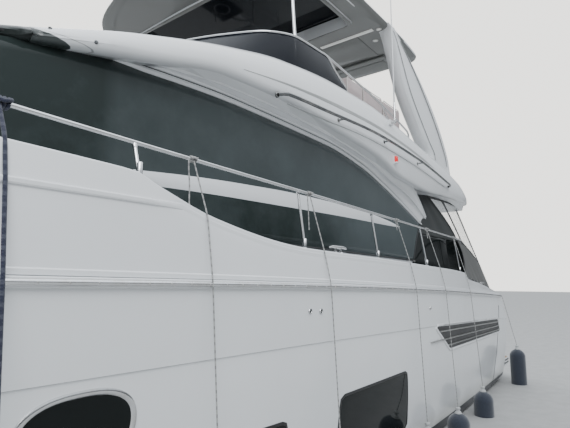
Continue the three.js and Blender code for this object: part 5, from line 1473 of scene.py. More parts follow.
def canvas_enclosure():
    """Canvas round the cockpit: grey panels, clear windows, black bindings, a zip, and forward of it
    a charcoal curtain over a fixed dark screen beside the side deck."""
    fore, zipped, corner = (0.55, smooth(CANVAS_FORE)), (0.92, zip_line), (1.90, corner_line)
    turn, door, door_end, middle = ((u, held(u)) for u in (CORNER_END, 4.10, 4.22, 5.0))
    hem, head, top, aft_sill = (held(v) for v in (0.0, CANVAS_HEAD, 1.0, AFT_SILL))
    grey = [canvas_patch(fore, zipped, hem, window_sill, 16, 14),
            canvas_patch(zipped, corner, hem, window_sill, 34, 14),
            canvas_patch(fore, zipped, head, top, 16, 4), canvas_patch(zipped, corner, head, top, 34, 4),
            canvas_patch(corner, turn, hem, top, 14, 40),
            canvas_patch(turn, door, hem, aft_sill, 54, 14), canvas_patch(turn, door, head, top, 54, 4),
            canvas_patch(door, door_end, hem, top, 6, 34),
            canvas_patch(door_end, middle, hem, aft_sill, 20, 14),
            canvas_patch(door_end, middle, head, top, 20, 4)]
    dark = [curtain(0.47, 1.0, 24)]
    cloth = both_skins("canvas_panels", grey, CANVAS_LIGHT, 0.0022, "canvas")
    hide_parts("canvas_enclosure")
    shade = both_skins("canvas_curtains", dark, CANVAS, 0.0022, "canvas")
    screen = both_skins("wing_screens", [curtain(0.0, 0.475, 16, 3)], HULL_GLASS, 0.008, "tinted_glass")
    clear = [canvas_patch(fore, zipped, window_sill, head, 16, 22),
             canvas_patch(zipped, corner, window_sill, head, 34, 22),
             canvas_patch(turn, door, aft_sill, head, 54, 22),
             canvas_patch(door_end, middle, aft_sill, head, 20, 22)]
    windows = both_skins("canvas_windows", clear, VINYL, 0.0012, "canvas")
    bands = []
    for u_at, width, low, high in ((zip_line, 0.055, 0.46, CANVAS_HEAD),
                                   (lambda v: corner_line(v) + 0.10, 0.105, 0.0, 1.0),
                                   (held(4.16), 0.022, 0.0, CANVAS_HEAD),
                                   (held(4.984), 0.016, 0.0, CANVAS_HEAD),
                                   (held(CORNER_END), 0.014, AFT_SILL, CANVAS_HEAD)):
        bands.append(binding(lambda v, s, at=u_at, w=width: at(v) + w * s, np.linspace(low, high, 40)))
    bands.append(binding(lambda v, s: smooth(CANVAS_FORE)(v) + 0.022 + 0.022 * s,
                         np.linspace(0.02, 0.98, 40)))
    for v_at in (held(0.012), lambda u: np.where(u < 2.2, window_sill(u), AFT_SILL), held(0.945)):
        u = np.linspace(smooth(CANVAS_FORE)(v_at(np.array(0.6))) + 0.01, 4.99, 200)[:, None]
        grid = canvas_point(u + np.zeros((1, 5)), v_at(u) + np.linspace(-0.011, 0.011, 5)[None])
        bands.append((grid + normals_of(grid) * 0.003)[:, ::-1])
    trim = both_skins("canvas_bindings", bands, SEAL, 0.002, "canvas")
    spots = [canvas_point(np.array(u), np.array(0.025)) for u in np.arange(0.3, 5.0, 0.22)]
    studs = [turned([(0.008, 0.002), (0.008, 0.005), (0.004, 0.008)], p,
                    (0, 1, 0) if p[0] > -9.2 else (-1, 0, 0), 10) for p in spots]
    snaps = dress("canvas_snaps", both(*studs), STEEL_DULL)


# Upholstery
def cushion(low, high, crown=0.022, pull=0.012, radius=0.04, lines=0, cell=0.04):
    """A closed pad: six faces of a rounded box, whose two broad faces are crowned by
    (1 - a^2)(1 - b^2), whose edges are drawn in by 1 - b^2 between the corners, with sewn lines
    across its length pressed in."""
    low, high = np.asarray(low, float), np.asarray(high, float)
    half = (high - low) / 2
    thin = int(np.argmin(half))
    broad = [k for k in range(3) if k != thin]
    long_axis = broad[0] if half[broad[0]] > half[broad[1]] else broad[1]
    count = np.maximum(4, (2 * half / cell).astype(int))
    count[thin] = max(count[thin], 6)
    radius = min(radius, half[thin] * 0.95)
    points, faces, start = [], [], 0
    for axis in range(3):
        b, c = [k for k in range(3) if k != axis]
        u, v = np.meshgrid(np.linspace(-1, 1, count[b] + 1), np.linspace(-1, 1, count[c] + 1), indexing="ij")
        for sign in (-1, 1):
            p = np.empty(u.shape + (3,))
            p[..., axis], p[..., b], p[..., c] = sign, u, v
            at = p * half
            inner = np.clip(at, radius - half, half - radius)
            out = at - inner
            at = inner + radius * out / np.maximum(np.linalg.norm(out, axis=-1, keepdims=True), 1e-9)
            a1, a2 = (np.clip(at[..., k] / half[k], -1, 1) for k in broad)
            dome = (1 - a1 ** 2) * (1 - a2 ** 2)
            press = sum(np.exp(-((at[..., long_axis] - half[long_axis] * (2 * (i + 1) / (lines + 1) - 1))
                                 / 0.011) ** 2) for i in range(lines))
            at[..., thin] += np.sign(at[..., thin]) * (crown * dome - 0.010 * press
                                                       * (dome > 0.02)) * np.abs(at[..., thin]) / half[thin]
            for k, other in ((broad[0], a2), (broad[1], a1)):
                at[..., k] -= (np.sign(at[..., k]) * pull * (1 - other ** 2)
                               * np.abs(at[..., k] / half[k]) ** 3)
            f = grid_faces(*u.shape) + start
            flipped = (sign < 0) != (axis == 1)
            faces.append(f[:, ::-1] if flipped else f)
            points.append((at + (low + high) / 2).reshape(-1, 3))
            start += u.size
    return np.concatenate(points), np.concatenate(faces)


def piping(low, high, side, pull=0.012, radius=0.04):
    """A round cord sewn along the rim of a pad's broad face, at the given side of its thickness."""
    low, high = np.asarray(low, float), np.asarray(high, float)
    half = (high - low) / 2
    thin = int(np.argmin(half))
    b, c = [k for k in range(3) if k != thin]
    loop = evenly(rounded([(-1, -1), (1, -1), (1, 1), (-1, 1)] * half[[b, c]], radius * 1.6), 90)
    share = loop / half[[b, c]]
    loop = loop - np.sign(share) * pull * (1 - share[:, ::-1] ** 2) * np.abs(share) ** 3
    ring = np.empty((90, 3))
    ring[:, b], ring[:, c], ring[:, thin] = loop[:, 0], loop[:, 1], side * (half[thin] - radius * 0.42)
    return hoop(ring + (low + high) / 2, 0.0062, 8)


def hoop(path, radius, sides=10):
    """A round bar along a closed path."""
    run = np.roll(path, -1, 0) - np.roll(path, 1, 0)
    run /= np.linalg.norm(run, axis=1, keepdims=True)
    guide = np.linalg.svd(path - path.mean(0), full_matrices=False)[2][2]
    side = np.cross(run, guide)
    side /= np.linalg.norm(side, axis=1, keepdims=True)
    turn = np.linspace(0, 2 * np.pi, sides, endpoint=False)
    ring = side[:, None] * np.cos(turn)[None, :, None] + guide * np.sin(turn)[None, :, None]
    grid = path[:, None] + ring * radius
    return grid.reshape(-1, 3), grid_faces(len(path), sides, close_rows=True, close_columns=True)


def puff(pads, cap=0.014):
    """A short cloth run with air pressure inside, no point carried further than the cap."""
    rest = np.empty(len(pads.data.vertices) * 3)
    pads.data.vertices.foreach_get("co", rest)
    cloth = pads.modifiers.new("air", "CLOTH")
    cloth.settings.quality = 3
    cloth.settings.mass = 0.4
    cloth.settings.use_pressure = True
    cloth.settings.uniform_pressure_force = 4.0
    cloth.settings.effector_weights.gravity = 0.0
    for frame_number in range(1, 13):
        bpy.context.scene.frame_set(frame_number)
    blown = pads.evaluated_get(bpy.context.evaluated_depsgraph_get())
    moved = np.empty_like(rest)
    blown.data.vertices.foreach_get("co", moved)
    pads.modifiers.remove(cloth)
    bpy.context.scene.frame_set(1)
    step = (moved - rest).reshape(-1, 3)
    length = np.linalg.norm(step, axis=1, keepdims=True)
    step *= np.minimum(1, cap / np.maximum(length, 1e-9))
    pads.data.vertices.foreach_set("co", (rest + step.ravel()).astype(np.float32))
    pads.data.update()
    return pads


def upholstered(name, node, plinths, seats, backs, hide, lines=0, cell=0.04):
    """A moulded plinth, seat pads that are flat below, and back pads, all piped. Each pad starts
    11 mm smaller all round than its place, and is blown up towards it."""
    dress(name + "_plinth", [rounded_box(lo, hi, 0.02) for lo, hi in plinths], WHITE, stands_for=[node])
    room = 0.011
    pads = [(np.add(lo, room), np.subtract(hi, [room, room, room + 0.008])) for lo, hi in seats]
    pads += [(np.add(lo, room), np.subtract(hi, room)) for lo, hi in backs]
    made = dress(name + "_pads", [cushion(lo, hi, lines=lines, cell=cell, crown=0.014) for lo, hi in pads],
                 hide, smooth_angle=60)
    made = puff(made, 0.009)
    soft = made.modifiers.new("soft", "SUBSURF")
    soft.levels = soft.render_levels = 1
    cords = [piping(lo, hi, side) for lo, hi in pads
             for side in ((1,) if hi[2] - lo[2] < 0.25 else (-1, 1))]
    dress(name + "_piping", cords, PALE_HIDE)


def seats():
    """Every seat of the boat: plinth, squabs, backs and piping."""
    upholstered("fly_sofa", "fly_sofa",
                [((-5.75, 1.34, FLY_FOOT), (-3.90, 1.95, 4.12)),
                 ((-4.50, 0.34, FLY_FOOT), (-3.90, 1.95, 4.12))],
                [((-5.75, 1.30, 4.12), (-5.13, 1.80, 4.27)), ((-5.12, 1.30, 4.12), (-4.51, 1.80, 4.27)),
                 ((-4.50, 0.96, 4.12), (-4.06, 1.80, 4.27)), ((-4.50, 0.30, 4.12), (-4.06, 0.95, 4.27))],
                [((-5.75, 1.80, 4.16), (-5.14, 1.96, 4.83)), ((-5.13, 1.80, 4.16), (-4.52, 1.96, 4.83)),
                 ((-4.51, 1.80, 4.16), (-4.07, 1.96, 4.83)), ((-4.06, 1.10, 4.16), (-3.90, 1.79, 4.83)),
                 ((-4.06, 0.31, 4.16), (-3.90, 1.09, 4.83))],
                SEAT_HIDE, lines=1, cell=0.032)
    upholstered("helm_seat", "upper_seat", [((-3.28, -1.33, FLY_FOOT), (-2.84, 0.03, 4.16))],
                [((-3.17, -1.35, 4.15), (-2.80, -0.66, 4.30)), ((-3.17, -0.65, 4.15), (-2.80, 0.05, 4.30))],
                [((-3.30, -1.35, 4.16), (-3.17, -0.66, 4.80)), ((-3.30, -0.65, 4.16), (-3.17, 0.05, 4.80))],
                SEAT_HIDE, lines=1)
    upholstered("cockpit_bench", "cockpit_bench", [((-8.98, -1.19, SOLE_FOOT), (-8.43, 1.19, 1.90))],
                [((-8.83, y, 1.90), (-8.40, y + 0.79, 2.05)) for y in (-1.20, -0.40, 0.40)],
                [((-8.99, y, 1.93), (-8.83, y + 0.79, 2.33)) for y in (-1.20, -0.40, 0.40)], SEAT_HIDE,
                cell=0.06)
    upholstered("saloon_sofa", "saloon_sofa",
                [((-4.68, 1.17, SOLE_FOOT), (-1.72, 1.77, 1.90)),
                 ((-4.68, 0.32, SOLE_FOOT), (-4.12, 1.77, 1.90))],
                [((x, 1.15, 1.90), (x + 0.79, 1.60, 2.05)) for x in (-4.09, -3.29, -2.49)]
                + [((-4.52, 0.31, 1.90), (-4.10, 1.10, 2.05))],
                [((x, 1.60, 1.92), (x + 0.79, 1.78, 2.45)) for x in (-4.09, -3.29, -2.49)]
                + [((-4.70, 0.31, 1.92), (-4.52, 1.10, 2.45))],
                PALE_HIDE, cell=0.06)


def sunpad():
    """Three long pads laid across the coachroof's forward slope, in the solid's place."""
    low, high = (np.array(c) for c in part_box("foredeck_sunpad"))
    width = (high[1] - low[1]) / 3
    room = 0.010
    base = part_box("foredeck_sunpad")[0][2]
    parts, rims = [], []
    for i in range(3):
        a = np.array([low[0] + room, low[1] + i * width + room, base + 0.012])
        b = np.array([high[0] - room, low[1] + (i + 1) * width - room, high[2] - 0.022])
        parts.append(cushion(a, b, lines=3, cell=0.06, crown=0.012, radius=0.03))
        rims.append(piping(a, b, 1, radius=0.03))
    made = puff(dress("sunpad_pads", parts, PALE_HIDE, stands_for=["foredeck_sunpad"],
                      smooth_angle=60), 0.008)
    dress("sunpad_piping", rims, SEAT_HIDE)


# Hardtop
def hardtop_skin():
    """One closed section carried round the roof, between the opening's edge and the plan outline: a
    lip under the opening, the underside, a rounded rim, the crown that rises from it, and a coaming.
    The downward faces take a dark grey that paints the shade under the roof."""
    xs = np.concatenate([np.linspace(-6.60, -6.35, 10), np.linspace(-6.35, -2.95, 40)[1:],
                         np.linspace(-2.95, -2.24, 26)[1:]])
    port = np.column_stack([xs, hardtop_half(xs)])
    outer = evenly(np.concatenate([port, port[::-1] * [1, -1]]), ROOF_POINTS)
    for _ in range(6):
        outer = (np.roll(outer, 1, 0) + np.roll(outer, -1, 0) + 2 * outer) / 4
    centre = np.array([-3.9, 0.0])
    hole = evenly(rounded(rectangle(-4.75, -3.04, 1.61, -1.61), 0.10), 600)
    bearing = np.arctan2(*(hole - centre).T[::-1])
    order = np.argsort(bearing)
    reach = np.linalg.norm(hole - centre, axis=1)
    turn = np.arctan2(*(outer - centre).T[::-1])
    span = np.interp(turn, bearing[order], reach[order], period=2 * np.pi)
    inner = centre + np.column_stack([np.cos(turn), np.sin(turn)]) * span[:, None]
    gap = np.linalg.norm(outer - inner, axis=1)

    def at(share, near_inner, near_outer):
        d = np.clip(share * gap + near_inner - near_outer, 0, None)
        d = np.where(near_outer < 0, gap - near_outer, d)
        return inner + (outer - inner) * (d / gap)[:, None], gap - d

    def top(p, d):
        crown = hardtop_crown(p[:, 0]) - 0.02 * np.clip(np.abs(p[:, 1])
                                                        / np.maximum(hardtop_half(p[:, 0]) - 0.32, 0.3), 0, 1)
        t = np.clip(d / 0.34, 0, 1)
        return mix(0.066, crown, t * (2 - t)) + SKIN

    rows = []
    under = [(0, 0, 0, -0.040), (0, 0.012, 0, -0.046), (0, 0.055, 0, -0.046), (0, 0.066, 0, -0.038),
             (0, 0.070, 0, -0.013)]
    under += [(s, 0, 0, -0.013) for s in (0.3, 0.5, 0.7)] + [(1, 0, 0.15, -0.0135), (1, 0, 0.11, -0.0125),
                                                             (1, 0, 0.06, -0.006)]
    under += [(1, 0, 0.022, 0.004), (1, 0, 0.004, 0.018), (1, 0, -0.005, 0.036), (1, 0, -0.002, 0.052)]
    for share, a, b, z in under:
        p, _ = at(share, a, b)
        rows.append(np.column_stack([p, np.full(len(p), HARDTOP_Z + z)]))
    for share, a, b in ((1, 0, 0.015), (1, 0, 0.05), (1, 0, 0.11), (1, 0, 0.18), (1, 0, 0.26), (1, 0, 0.34),
                        (0.5, 0, 0), (0.3, 0, 0), (0, 0.06, 0)):
        p, d = at(share, a, b)
        rows.append(np.column_stack([p, HARDTOP_Z + top(p, d)]))
    for a, lift in ((0.055, 0.018), (0.008, 0.019), (0.0, 0.012)):
        p, d = at(0, a, 0)
        rows.append(np.column_stack([p, HARDTOP_Z + top(p, d) + lift]))
    grid = np.stack(rows)
    roof = grid.reshape(-1, 3), grid_faces(len(rows), ROOF_POINTS, close_rows=True, close_columns=True)
    moulding = dress("hardtop_moulding", [roof], WHITE, stands_for=["hardtop"], smooth_angle=40)
    # the downward faces take the dark grey of painted shade
    moulding.data.materials.append(UNDERSIDE_SHADE)
    facing = np.empty(len(moulding.data.polygons) * 3)
    moulding.data.polygons.foreach_get("normal", facing)
    under = (facing.reshape(-1, 3)[:, 2] < -0.35).astype(np.int32)
    moulding.data.polygons.foreach_set("material_index", under)
    foot, head = np.array([-3.015, 1.90, 4.355]), np.array([-2.961, 1.83, 5.984])
    flange = [(0.045, -0.01), (0.047, 0.004), (0.034, 0.012), (0.0235, 0.018)]
    dress("roof_poles",
          both(rod(foot, head, 0.0205, 20), turned(flange, foot, sides=24),
               turned(flange, head, (0, 0, -1), 24)), STEEL)


def hardtop_fittings():
    """Under the hardtop: dark grey panels of painted shade, light strips and round lamps."""
    z = HARDTOP_Z - 0.013
    # dark grey panels under the roof: painted shade
    panel = [rounded_box((-5.93, -1.52, z - 0.010), (-5.17, 1.52, z + 0.002), 0.01, 3),
             rounded_box((-6.09, -1.60, z - 0.032), (-5.97, 1.60, z + 0.004), 0.02),
             rounded_box((-6.50, -1.50, z - 0.008), (-6.16, 1.50, z + 0.002), 0.01, 3)]
    dress("roof_shade_panels", panel, UNDERSIDE_SHADE)
    strips = both(rounded_box((-5.155, 0.87, z - 0.014), (-5.085, 1.82, z + 0.002), 0.008, 3))
    dress("roof_light_strips", strips, WHITE_LENS)
    spots = [(-5.17, 1.90), (-5.45, 1.70), (-2.86, 1.40), (-6.28, 1.62)]
    rims = [turned([(0.046, 0.003), (0.044, -0.006), (0.036, -0.009), (0.030, -0.004)], (x, y, z), sides=24)
            for x, y in spots]
    dress("roof_lamp_rims", both(*rims), STEEL_DULL)
    glass = [turned([(0.034, 0.001), (0.031, -0.005), (0.012, -0.008)], (x, y, z), sides=20)
             for x, y in spots]
    dress("roof_lamps", both(*glass), WHITE_LENS)


def sunroof():
    """A tinted panel, slightly domed, in a dark frame with a seal, on two runners."""
    low, high = (np.array(c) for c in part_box("sunroof"))
    top = high[2]
    x, y = np.meshgrid(np.linspace(low[0] + 0.05, high[0] - 0.05, 30),
                       np.linspace(low[1] + 0.05, high[1] - 0.05, 44), indexing="ij")
    a, b = (x - x.mean()) / np.ptp(x) * 2, y / y.max()
    z = top - 0.012 + 0.010 * (1 - a * a) * (1 - b * b)
    pane = walled(surface("sunroof_pane", np.stack([x, y, z], -1), ROOF_GLASS), 0.012)
    place(pane, "sunroof", "tinted_glass", ["sunroof"])
    loop = evenly(rounded(rectangle(low[0] + 0.03, high[0] - 0.03, low[1] + 0.03, high[1] - 0.03), 0.12), 200)
    n = np.column_stack([np.roll(loop, -1, 0) - np.roll(loop, 1, 0)])[:, ::-1] * [1, -1]
    n /= np.linalg.norm(n, axis=1, keepdims=True)
    section = [(-0.03, -0.028), (0.026, -0.028), (0.029, -0.020), (0.029, -0.006), (0.020, -0.001),
               (-0.015, 0.001), (-0.03, -0.004)]
    grid = np.stack([np.column_stack([loop + n * out, np.full(200, top + up)]) for out, up in section])
    frame_body = grid.reshape(-1, 3), grid_faces(len(section), 200, close_rows=True, close_columns=True)
    runner = both(rounded_box((high[0] - 1.90, 1.650, low[2]), (high[0] - 0.14, 1.676, top - 0.02), 0.006, 3))
    dress("sunroof_frame", [frame_body] + runner, DASH, "sunroof")
    track = both(rounded_box((-5.90, 1.684, HARDTOP_Z + 0.118), (-3.05, 1.715, HARDTOP_Z + 0.160), 0.006, 3))
    dress("sunroof_tracks", track, STEEL_DULL)


def mast():
    """A winged beam across the hardtop's aft end, two domes with a seam and a flared foot, and a
    raked pedestal for the radar."""
    beam_section = [(-5.962, 6.10), (-6.02, 6.155), (-6.14, 6.19), (-6.32, 6.185), (-6.47, 6.15),
                    (-6.555, 6.10), (-6.46, 6.07), (-6.28, 6.06), (-6.10, 6.07)]
    ys = np.concatenate([np.linspace(-1.695, -1.5, 10), np.linspace(-1.5, 1.5, 30)[1:-1],
                         np.linspace(1.5, 1.695, 10)])
    shrink = np.sqrt(np.clip(1 - np.clip((np.abs(ys) - 1.5) / 0.2, 0, 1) ** 2, 0.02, 1))[:, None, None]
    ring = np.array([(x, 0.0, z) for x, z in beam_section])
    middle = np.array([-6.26, 0, 6.12])
    beam = capped_sweep(middle + (ring - middle) * shrink + ys[:, None, None] * [0, 1, 0])
    foot = rounded_box((-6.46, -1.48, 6.03), (-6.06, 1.48, 6.12), 0.03)
    dome = [(0.17, -0.06), (0.20, -0.05), (0.19, 0.0), (0.275, 0.05), (0.295, 0.09), (0.295, 0.10),
            (0.290, 0.104), (0.295, 0.108), (0.306, 0.20), (0.300, 0.29), (0.278, 0.38), (0.235, 0.45),
            (0.17, 0.505), (0.09, 0.532), (0.03, 0.538)]
    column = [(0.172, 0.0), (0.165, 0.05), (0.145, 0.2), (0.118, 0.42), (0.112, 0.55), (0.128, 0.585),
              (0.128, 0.605)]
    parts = [beam, foot, *both(turned(dome, (MAST_X, 1.35, 6.22), sides=48)),
             turned(column, (MAST_X, 0, 6.152), sides=32)]
    pole = [(0.040, 0.0), (0.040, 0.02), (0.024, 0.05), (0.0175, 0.08), (0.0175, 1.13)]
    parts.append(turned(pole, (MAST_X, 0.86, 6.16), sides=18))
    dress("mast_and_domes", parts, WHITE, stands_for=["antenna_mast"], smooth_angle=40)
    dress("masthead_light",
          [turned([(0.030, 0), (0.033, 0.008), (0.033, 0.066), (0.020, 0.078)], (MAST_X, 0.86, 7.29),
                  sides=24)], WHITE_LENS)
    hub = turned([(0.068, 0.0), (0.070, 0.02), (0.055, 0.06), (0.052, 0.08)], (MAST_X, 0, 6.762), sides=28)
    ys = np.linspace(-0.68, 0.68, 41)
    taper = np.sqrt(np.clip(1 - (np.abs(ys) / 0.685) ** 8, 0.02, 1))[:, None, None]
    a = np.linspace(0, 2 * np.pi, 20, endpoint=False)
    oval_ring = np.column_stack([0.060 * np.sign(np.cos(a)) * np.abs(np.cos(a)) ** 0.6, 0 * a,
                                 0.049 * np.sign(np.sin(a)) * np.abs(np.sin(a)) ** 0.6])
    scanner = capped_sweep(np.array([MAST_X, 0, 6.880]) + oval_ring * taper + ys[:, None, None] * [0, 1, 0])
    dress("radar_array", [hub, scanner], WHITE, "radar", ["radar_scanner"], 40)
    base = [turned([(0.0165, 0.0), (0.0165, 0.012), (0.012, 0.016), (0.012, 0.05), (0.0165, 0.054),
                    (0.0165, 0.062)], (AERIAL[0], 2.290, 4.25), (0, 1, 0), 20),
            turned([(0.018, -0.02), (0.020, 0.0), (0.0155, 0.07), (0.0145, 0.25), (0.009, 0.28)],
                   (*AERIAL, 4.25), sides=18)]
    dress("aerial_mount", base, STEEL, "antenna", ["vhf_antenna_port"])
    whip = [(0.0085, 0.0), (0.0105, 0.01), (0.0105, 0.9), (0.0085, 0.93), (0.0070, 1.6), (0.0045, 2.32),
            (0.003, 2.335)]
    dress("aerial_whip", [turned(whip, (*AERIAL, 4.515), sides=14)], WHITE, "antenna")


# Helms, saloon, cockpit and stern
def face_plate(origin, across, up, outline, proud, depth=-0.006):
    """A plate on a flat face: outline in metres across and up from the origin. across x up points
    out of the face."""
    origin, across, up = (np.asarray(a, float) for a in (origin, across, up))
    return plate_on(lambda u, v: origin + u[..., None] * across + v[..., None] * up, outline, proud, depth)


def block(width, height, centre, radius=0.012):
    """A rounded rectangle of (u, v) about a centre."""
    w, h = width / 2, height / 2
    return evenly(rounded(np.array(rectangle(-w, w, -h, h)) + centre, radius), 60)


def wheels():
    """A padded rim, three tapering spokes and a domed hub on its shaft, at each helm."""
    a = np.linspace(0, 2 * np.pi, 64, endpoint=False)
    for name, centre in (("lower_wheel", (0.84, HELM_Y[0], 2.29)),
                         ("upper_wheel", (-2.42, HELM_Y[1], 4.50))):
        middle = np.array(centre)
        rim = middle + np.column_stack([0 * a, 0.19 * np.cos(a), 0.19 * np.sin(a)])
        dress(name + "_rim", [hoop(rim, 0.0150, 14)], DASH, name, [name])
        spokes = [tube([middle + [0.004, 0.03 * c, 0.03 * k], middle + [-0.004, 0.11 * c, 0.11 * k],
                        middle + [0, 0.186 * c, 0.186 * k]],
                       [0.013, 0.010, 0.008], 12, 0.7)
                  for c, k in ((math.cos(t), math.sin(t)) for t in np.radians([90, 210, 330]))]
        hub = turned([(0.030, -0.026), (0.044, -0.021), (0.050, -0.006), (0.044, 0.008), (0.024, 0.016),
                      (0.022, 0.0585)], middle, (1, 0, 0), 28)
        dress(name + "_spokes", spokes + [hub], STEEL, name)


def helms():
    """Displays, switch rows, throttle levers and a compass on each console's face."""
    slope = np.array([0.25, 0, 0.22]) / 0.333
    faces = [("lower_helm", (0.90, 0, 2.38), slope, ((0.66, 0.165), (1.12, 0.165)), (0.42, 0.165)),
             ("fly_helm", (-2.36, 0, 4.34), np.array([0, 0, 1.0]), ((0.26, 0.10), (1.08, 0.10)),
              (-0.04, 0.10))]
    for name, origin, up, screens, lever in faces:
        origin, across = np.array(origin), np.array([0, -1.0, 0])
        size = (0.36, 0.24) if name == "lower_helm" else (0.28, 0.19)
        rims = [face_plate(origin, across, up, block(size[0] + 0.03, size[1] + 0.03, at, 0.02), 0.012)
                for at in screens]
        rims.append(face_plate(origin, across, up, block(0.13, 0.20, lever, 0.03), 0.010))
        dress(name + "_bezels", rims, DASH)
        dress(name + "_displays",
              [face_plate(origin, across, up, block(*size, at), 0.014) for at in screens], HULL_GLASS)
        out = np.cross(across, up)
        metal = []
        for d in (-0.028, 0.028):
            foot = origin + across * (lever[0] + d) + up * lever[1] + out * 0.008
            knob = foot + out * 0.085 + up * 0.055
            metal += [rod(foot, knob, 0.008, 12, 0.006),
                      turned([(0.012, -0.012), (0.019, 0.0), (0.017, 0.018), (0.008, 0.024)], knob, out, 18)]
        low = screens[0][1] - size[1] / 2 - 0.034
        for step in range(9):
            foot = origin + across * (screens[0][0] - 0.16 + 0.04 * step) + up * low
            metal.append(turned([(0.010, -0.003), (0.010, 0.004), (0.007, 0.010)], foot, out, 14))
        dress(name + "_controls", metal, STEEL_DULL)
    ball = [(0.065, 0.0), (0.068, 0.012), (0.055, 0.020), (0.052, 0.045), (0.036, 0.072), (0.012, 0.082)]
    dress("compasses",
          [turned(ball, (1.45, HELM_Y[0], 2.608), sides=32),
           turned(ball, (-2.28, HELM_Y[1], 4.588), sides=32)], HULL_GLASS)


def doors():
    """The saloon's sliding leaf in its frame, and the fixed pane beside it."""
    x0, x1, y0, y1, z0, z1 = -6.004, -5.968, -0.96, 0.06, 1.612, 3.40
    stiles = [rounded_box((x0, y0, z0), (x1, y0 + 0.045, z1), 0.005, 3),
              rounded_box((x0, y1 - 0.045, z0), (x1, y1, z1), 0.005, 3),
              rounded_box((x0 + 0.001, y0 + 0.03, z1 - 0.045), (x1 - 0.001, y1 - 0.03, z1), 0.005, 3),
              rounded_box((x0 + 0.001, y0 + 0.03, z0), (x1 - 0.001, y1 - 0.03, z0 + 0.09), 0.005, 3)]
    pull = [tube(along([(x0, 0.038, 2.40), (x0 - 0.045, 0.038, 2.43), (x0 - 0.045, 0.038, 2.77),
                        (x0, 0.038, 2.80)], 40), 0.010, 12),
            rounded_box((-6.000, -0.90, SOLE_FOOT), (-5.972, -0.80, 1.614), 0.003, 2),
            rounded_box((-6.000, -0.10, SOLE_FOOT), (-5.972, 0.0, 1.614), 0.003, 2)]
    dress("saloon_door_frame", stiles + pull, STEEL_DULL, "saloon_door")
    pane = rounded_box((-5.992, y0 + 0.04, z0 + 0.085), (-5.980, y1 - 0.04, z1 - 0.04), 0.003, 2)
    dress("saloon_door_pane", [pane], HULL_GLASS, "saloon_door", ["saloon_door"])
    dress("aft_window_pane", [rounded_box((-5.9625, 0.16, 2.36), (-5.950, 1.46, 3.26), 0.005, 3)],
          HULL_GLASS)
    rim = evenly(rounded(rectangle(0.15, 1.47, 2.35, 3.27), 0.06), 90)
    dress("aft_window_seal", [hoop(np.insert(rim, 0, -5.9605, 1), 0.0025, 8)], SEAL)


def stairs():
    """Teak pads on the nine treads and a steel handrail on each side."""
    t = np.arange(1, 10) / 9.4
    xs, zs = mix(-7.85, -6.41, t), mix(1.6005, 3.79, t)
    pads = [rounded_box((x - 0.082, 0.80, z - 0.002), (x + 0.162, 1.45, z + 0.012), 0.005, 3)
            for x, z in zip(xs, zs)]
    dress("stair_treads", pads, TEAK)
    rails = []
    for y in (0.785, 1.465):
        rails.append(tube(along([(-7.80, y, 1.72), (-7.83, y, 2.35), (-7.72, y, 2.56), (-7.0, y, 3.52),
                                 (-6.86, y, 3.62), (-6.74, y, 3.60), (-6.70, y, 3.42)], 70), 0.016, 14))
        rails.append(rod((-7.22, y, 2.60), (-7.32, y, 3.09), 0.011, 12))
    dress("stair_rails", rails, STEEL)


def tables():
    """Each table: a varnished top with a rounded edge and a raised rim, on a flared steel column."""
    for name, low, high, foot, base in (("cockpit_table", (-7.95, -0.65, 2.23), (-7.25, 0.45, 2.27),
                                         (-7.60, -0.10), SOLE_FOOT),
                                        ("fly_table", (-5.70, 0.35, 4.50), (-4.70, 1.15, 4.54),
                                         (-5.20, 0.75), FLY_FOOT)):
        dress(name + "_top", [rounded_box(low, high, 0.019, 5)], WOOD, stands_for=[name])
        rim = evenly(rounded(rectangle(low[0] + 0.03, high[0] - 0.03, low[1] + 0.03, high[1] - 0.03), 0.06),
                     100)
        tall = low[2] - base
        column = [(0.150, 0.0), (0.150, 0.010), (0.120, 0.020), (0.060, 0.034), (0.045, 0.07),
                  (0.045, tall - 0.06), (0.060, tall - 0.03), (0.130, tall)]
        steel = [hoop(np.insert(rim, 2, high[2], 1), 0.006, 8), turned(column, (*foot, base), sides=36)]
        dress(name + "_column", steel, STEEL)


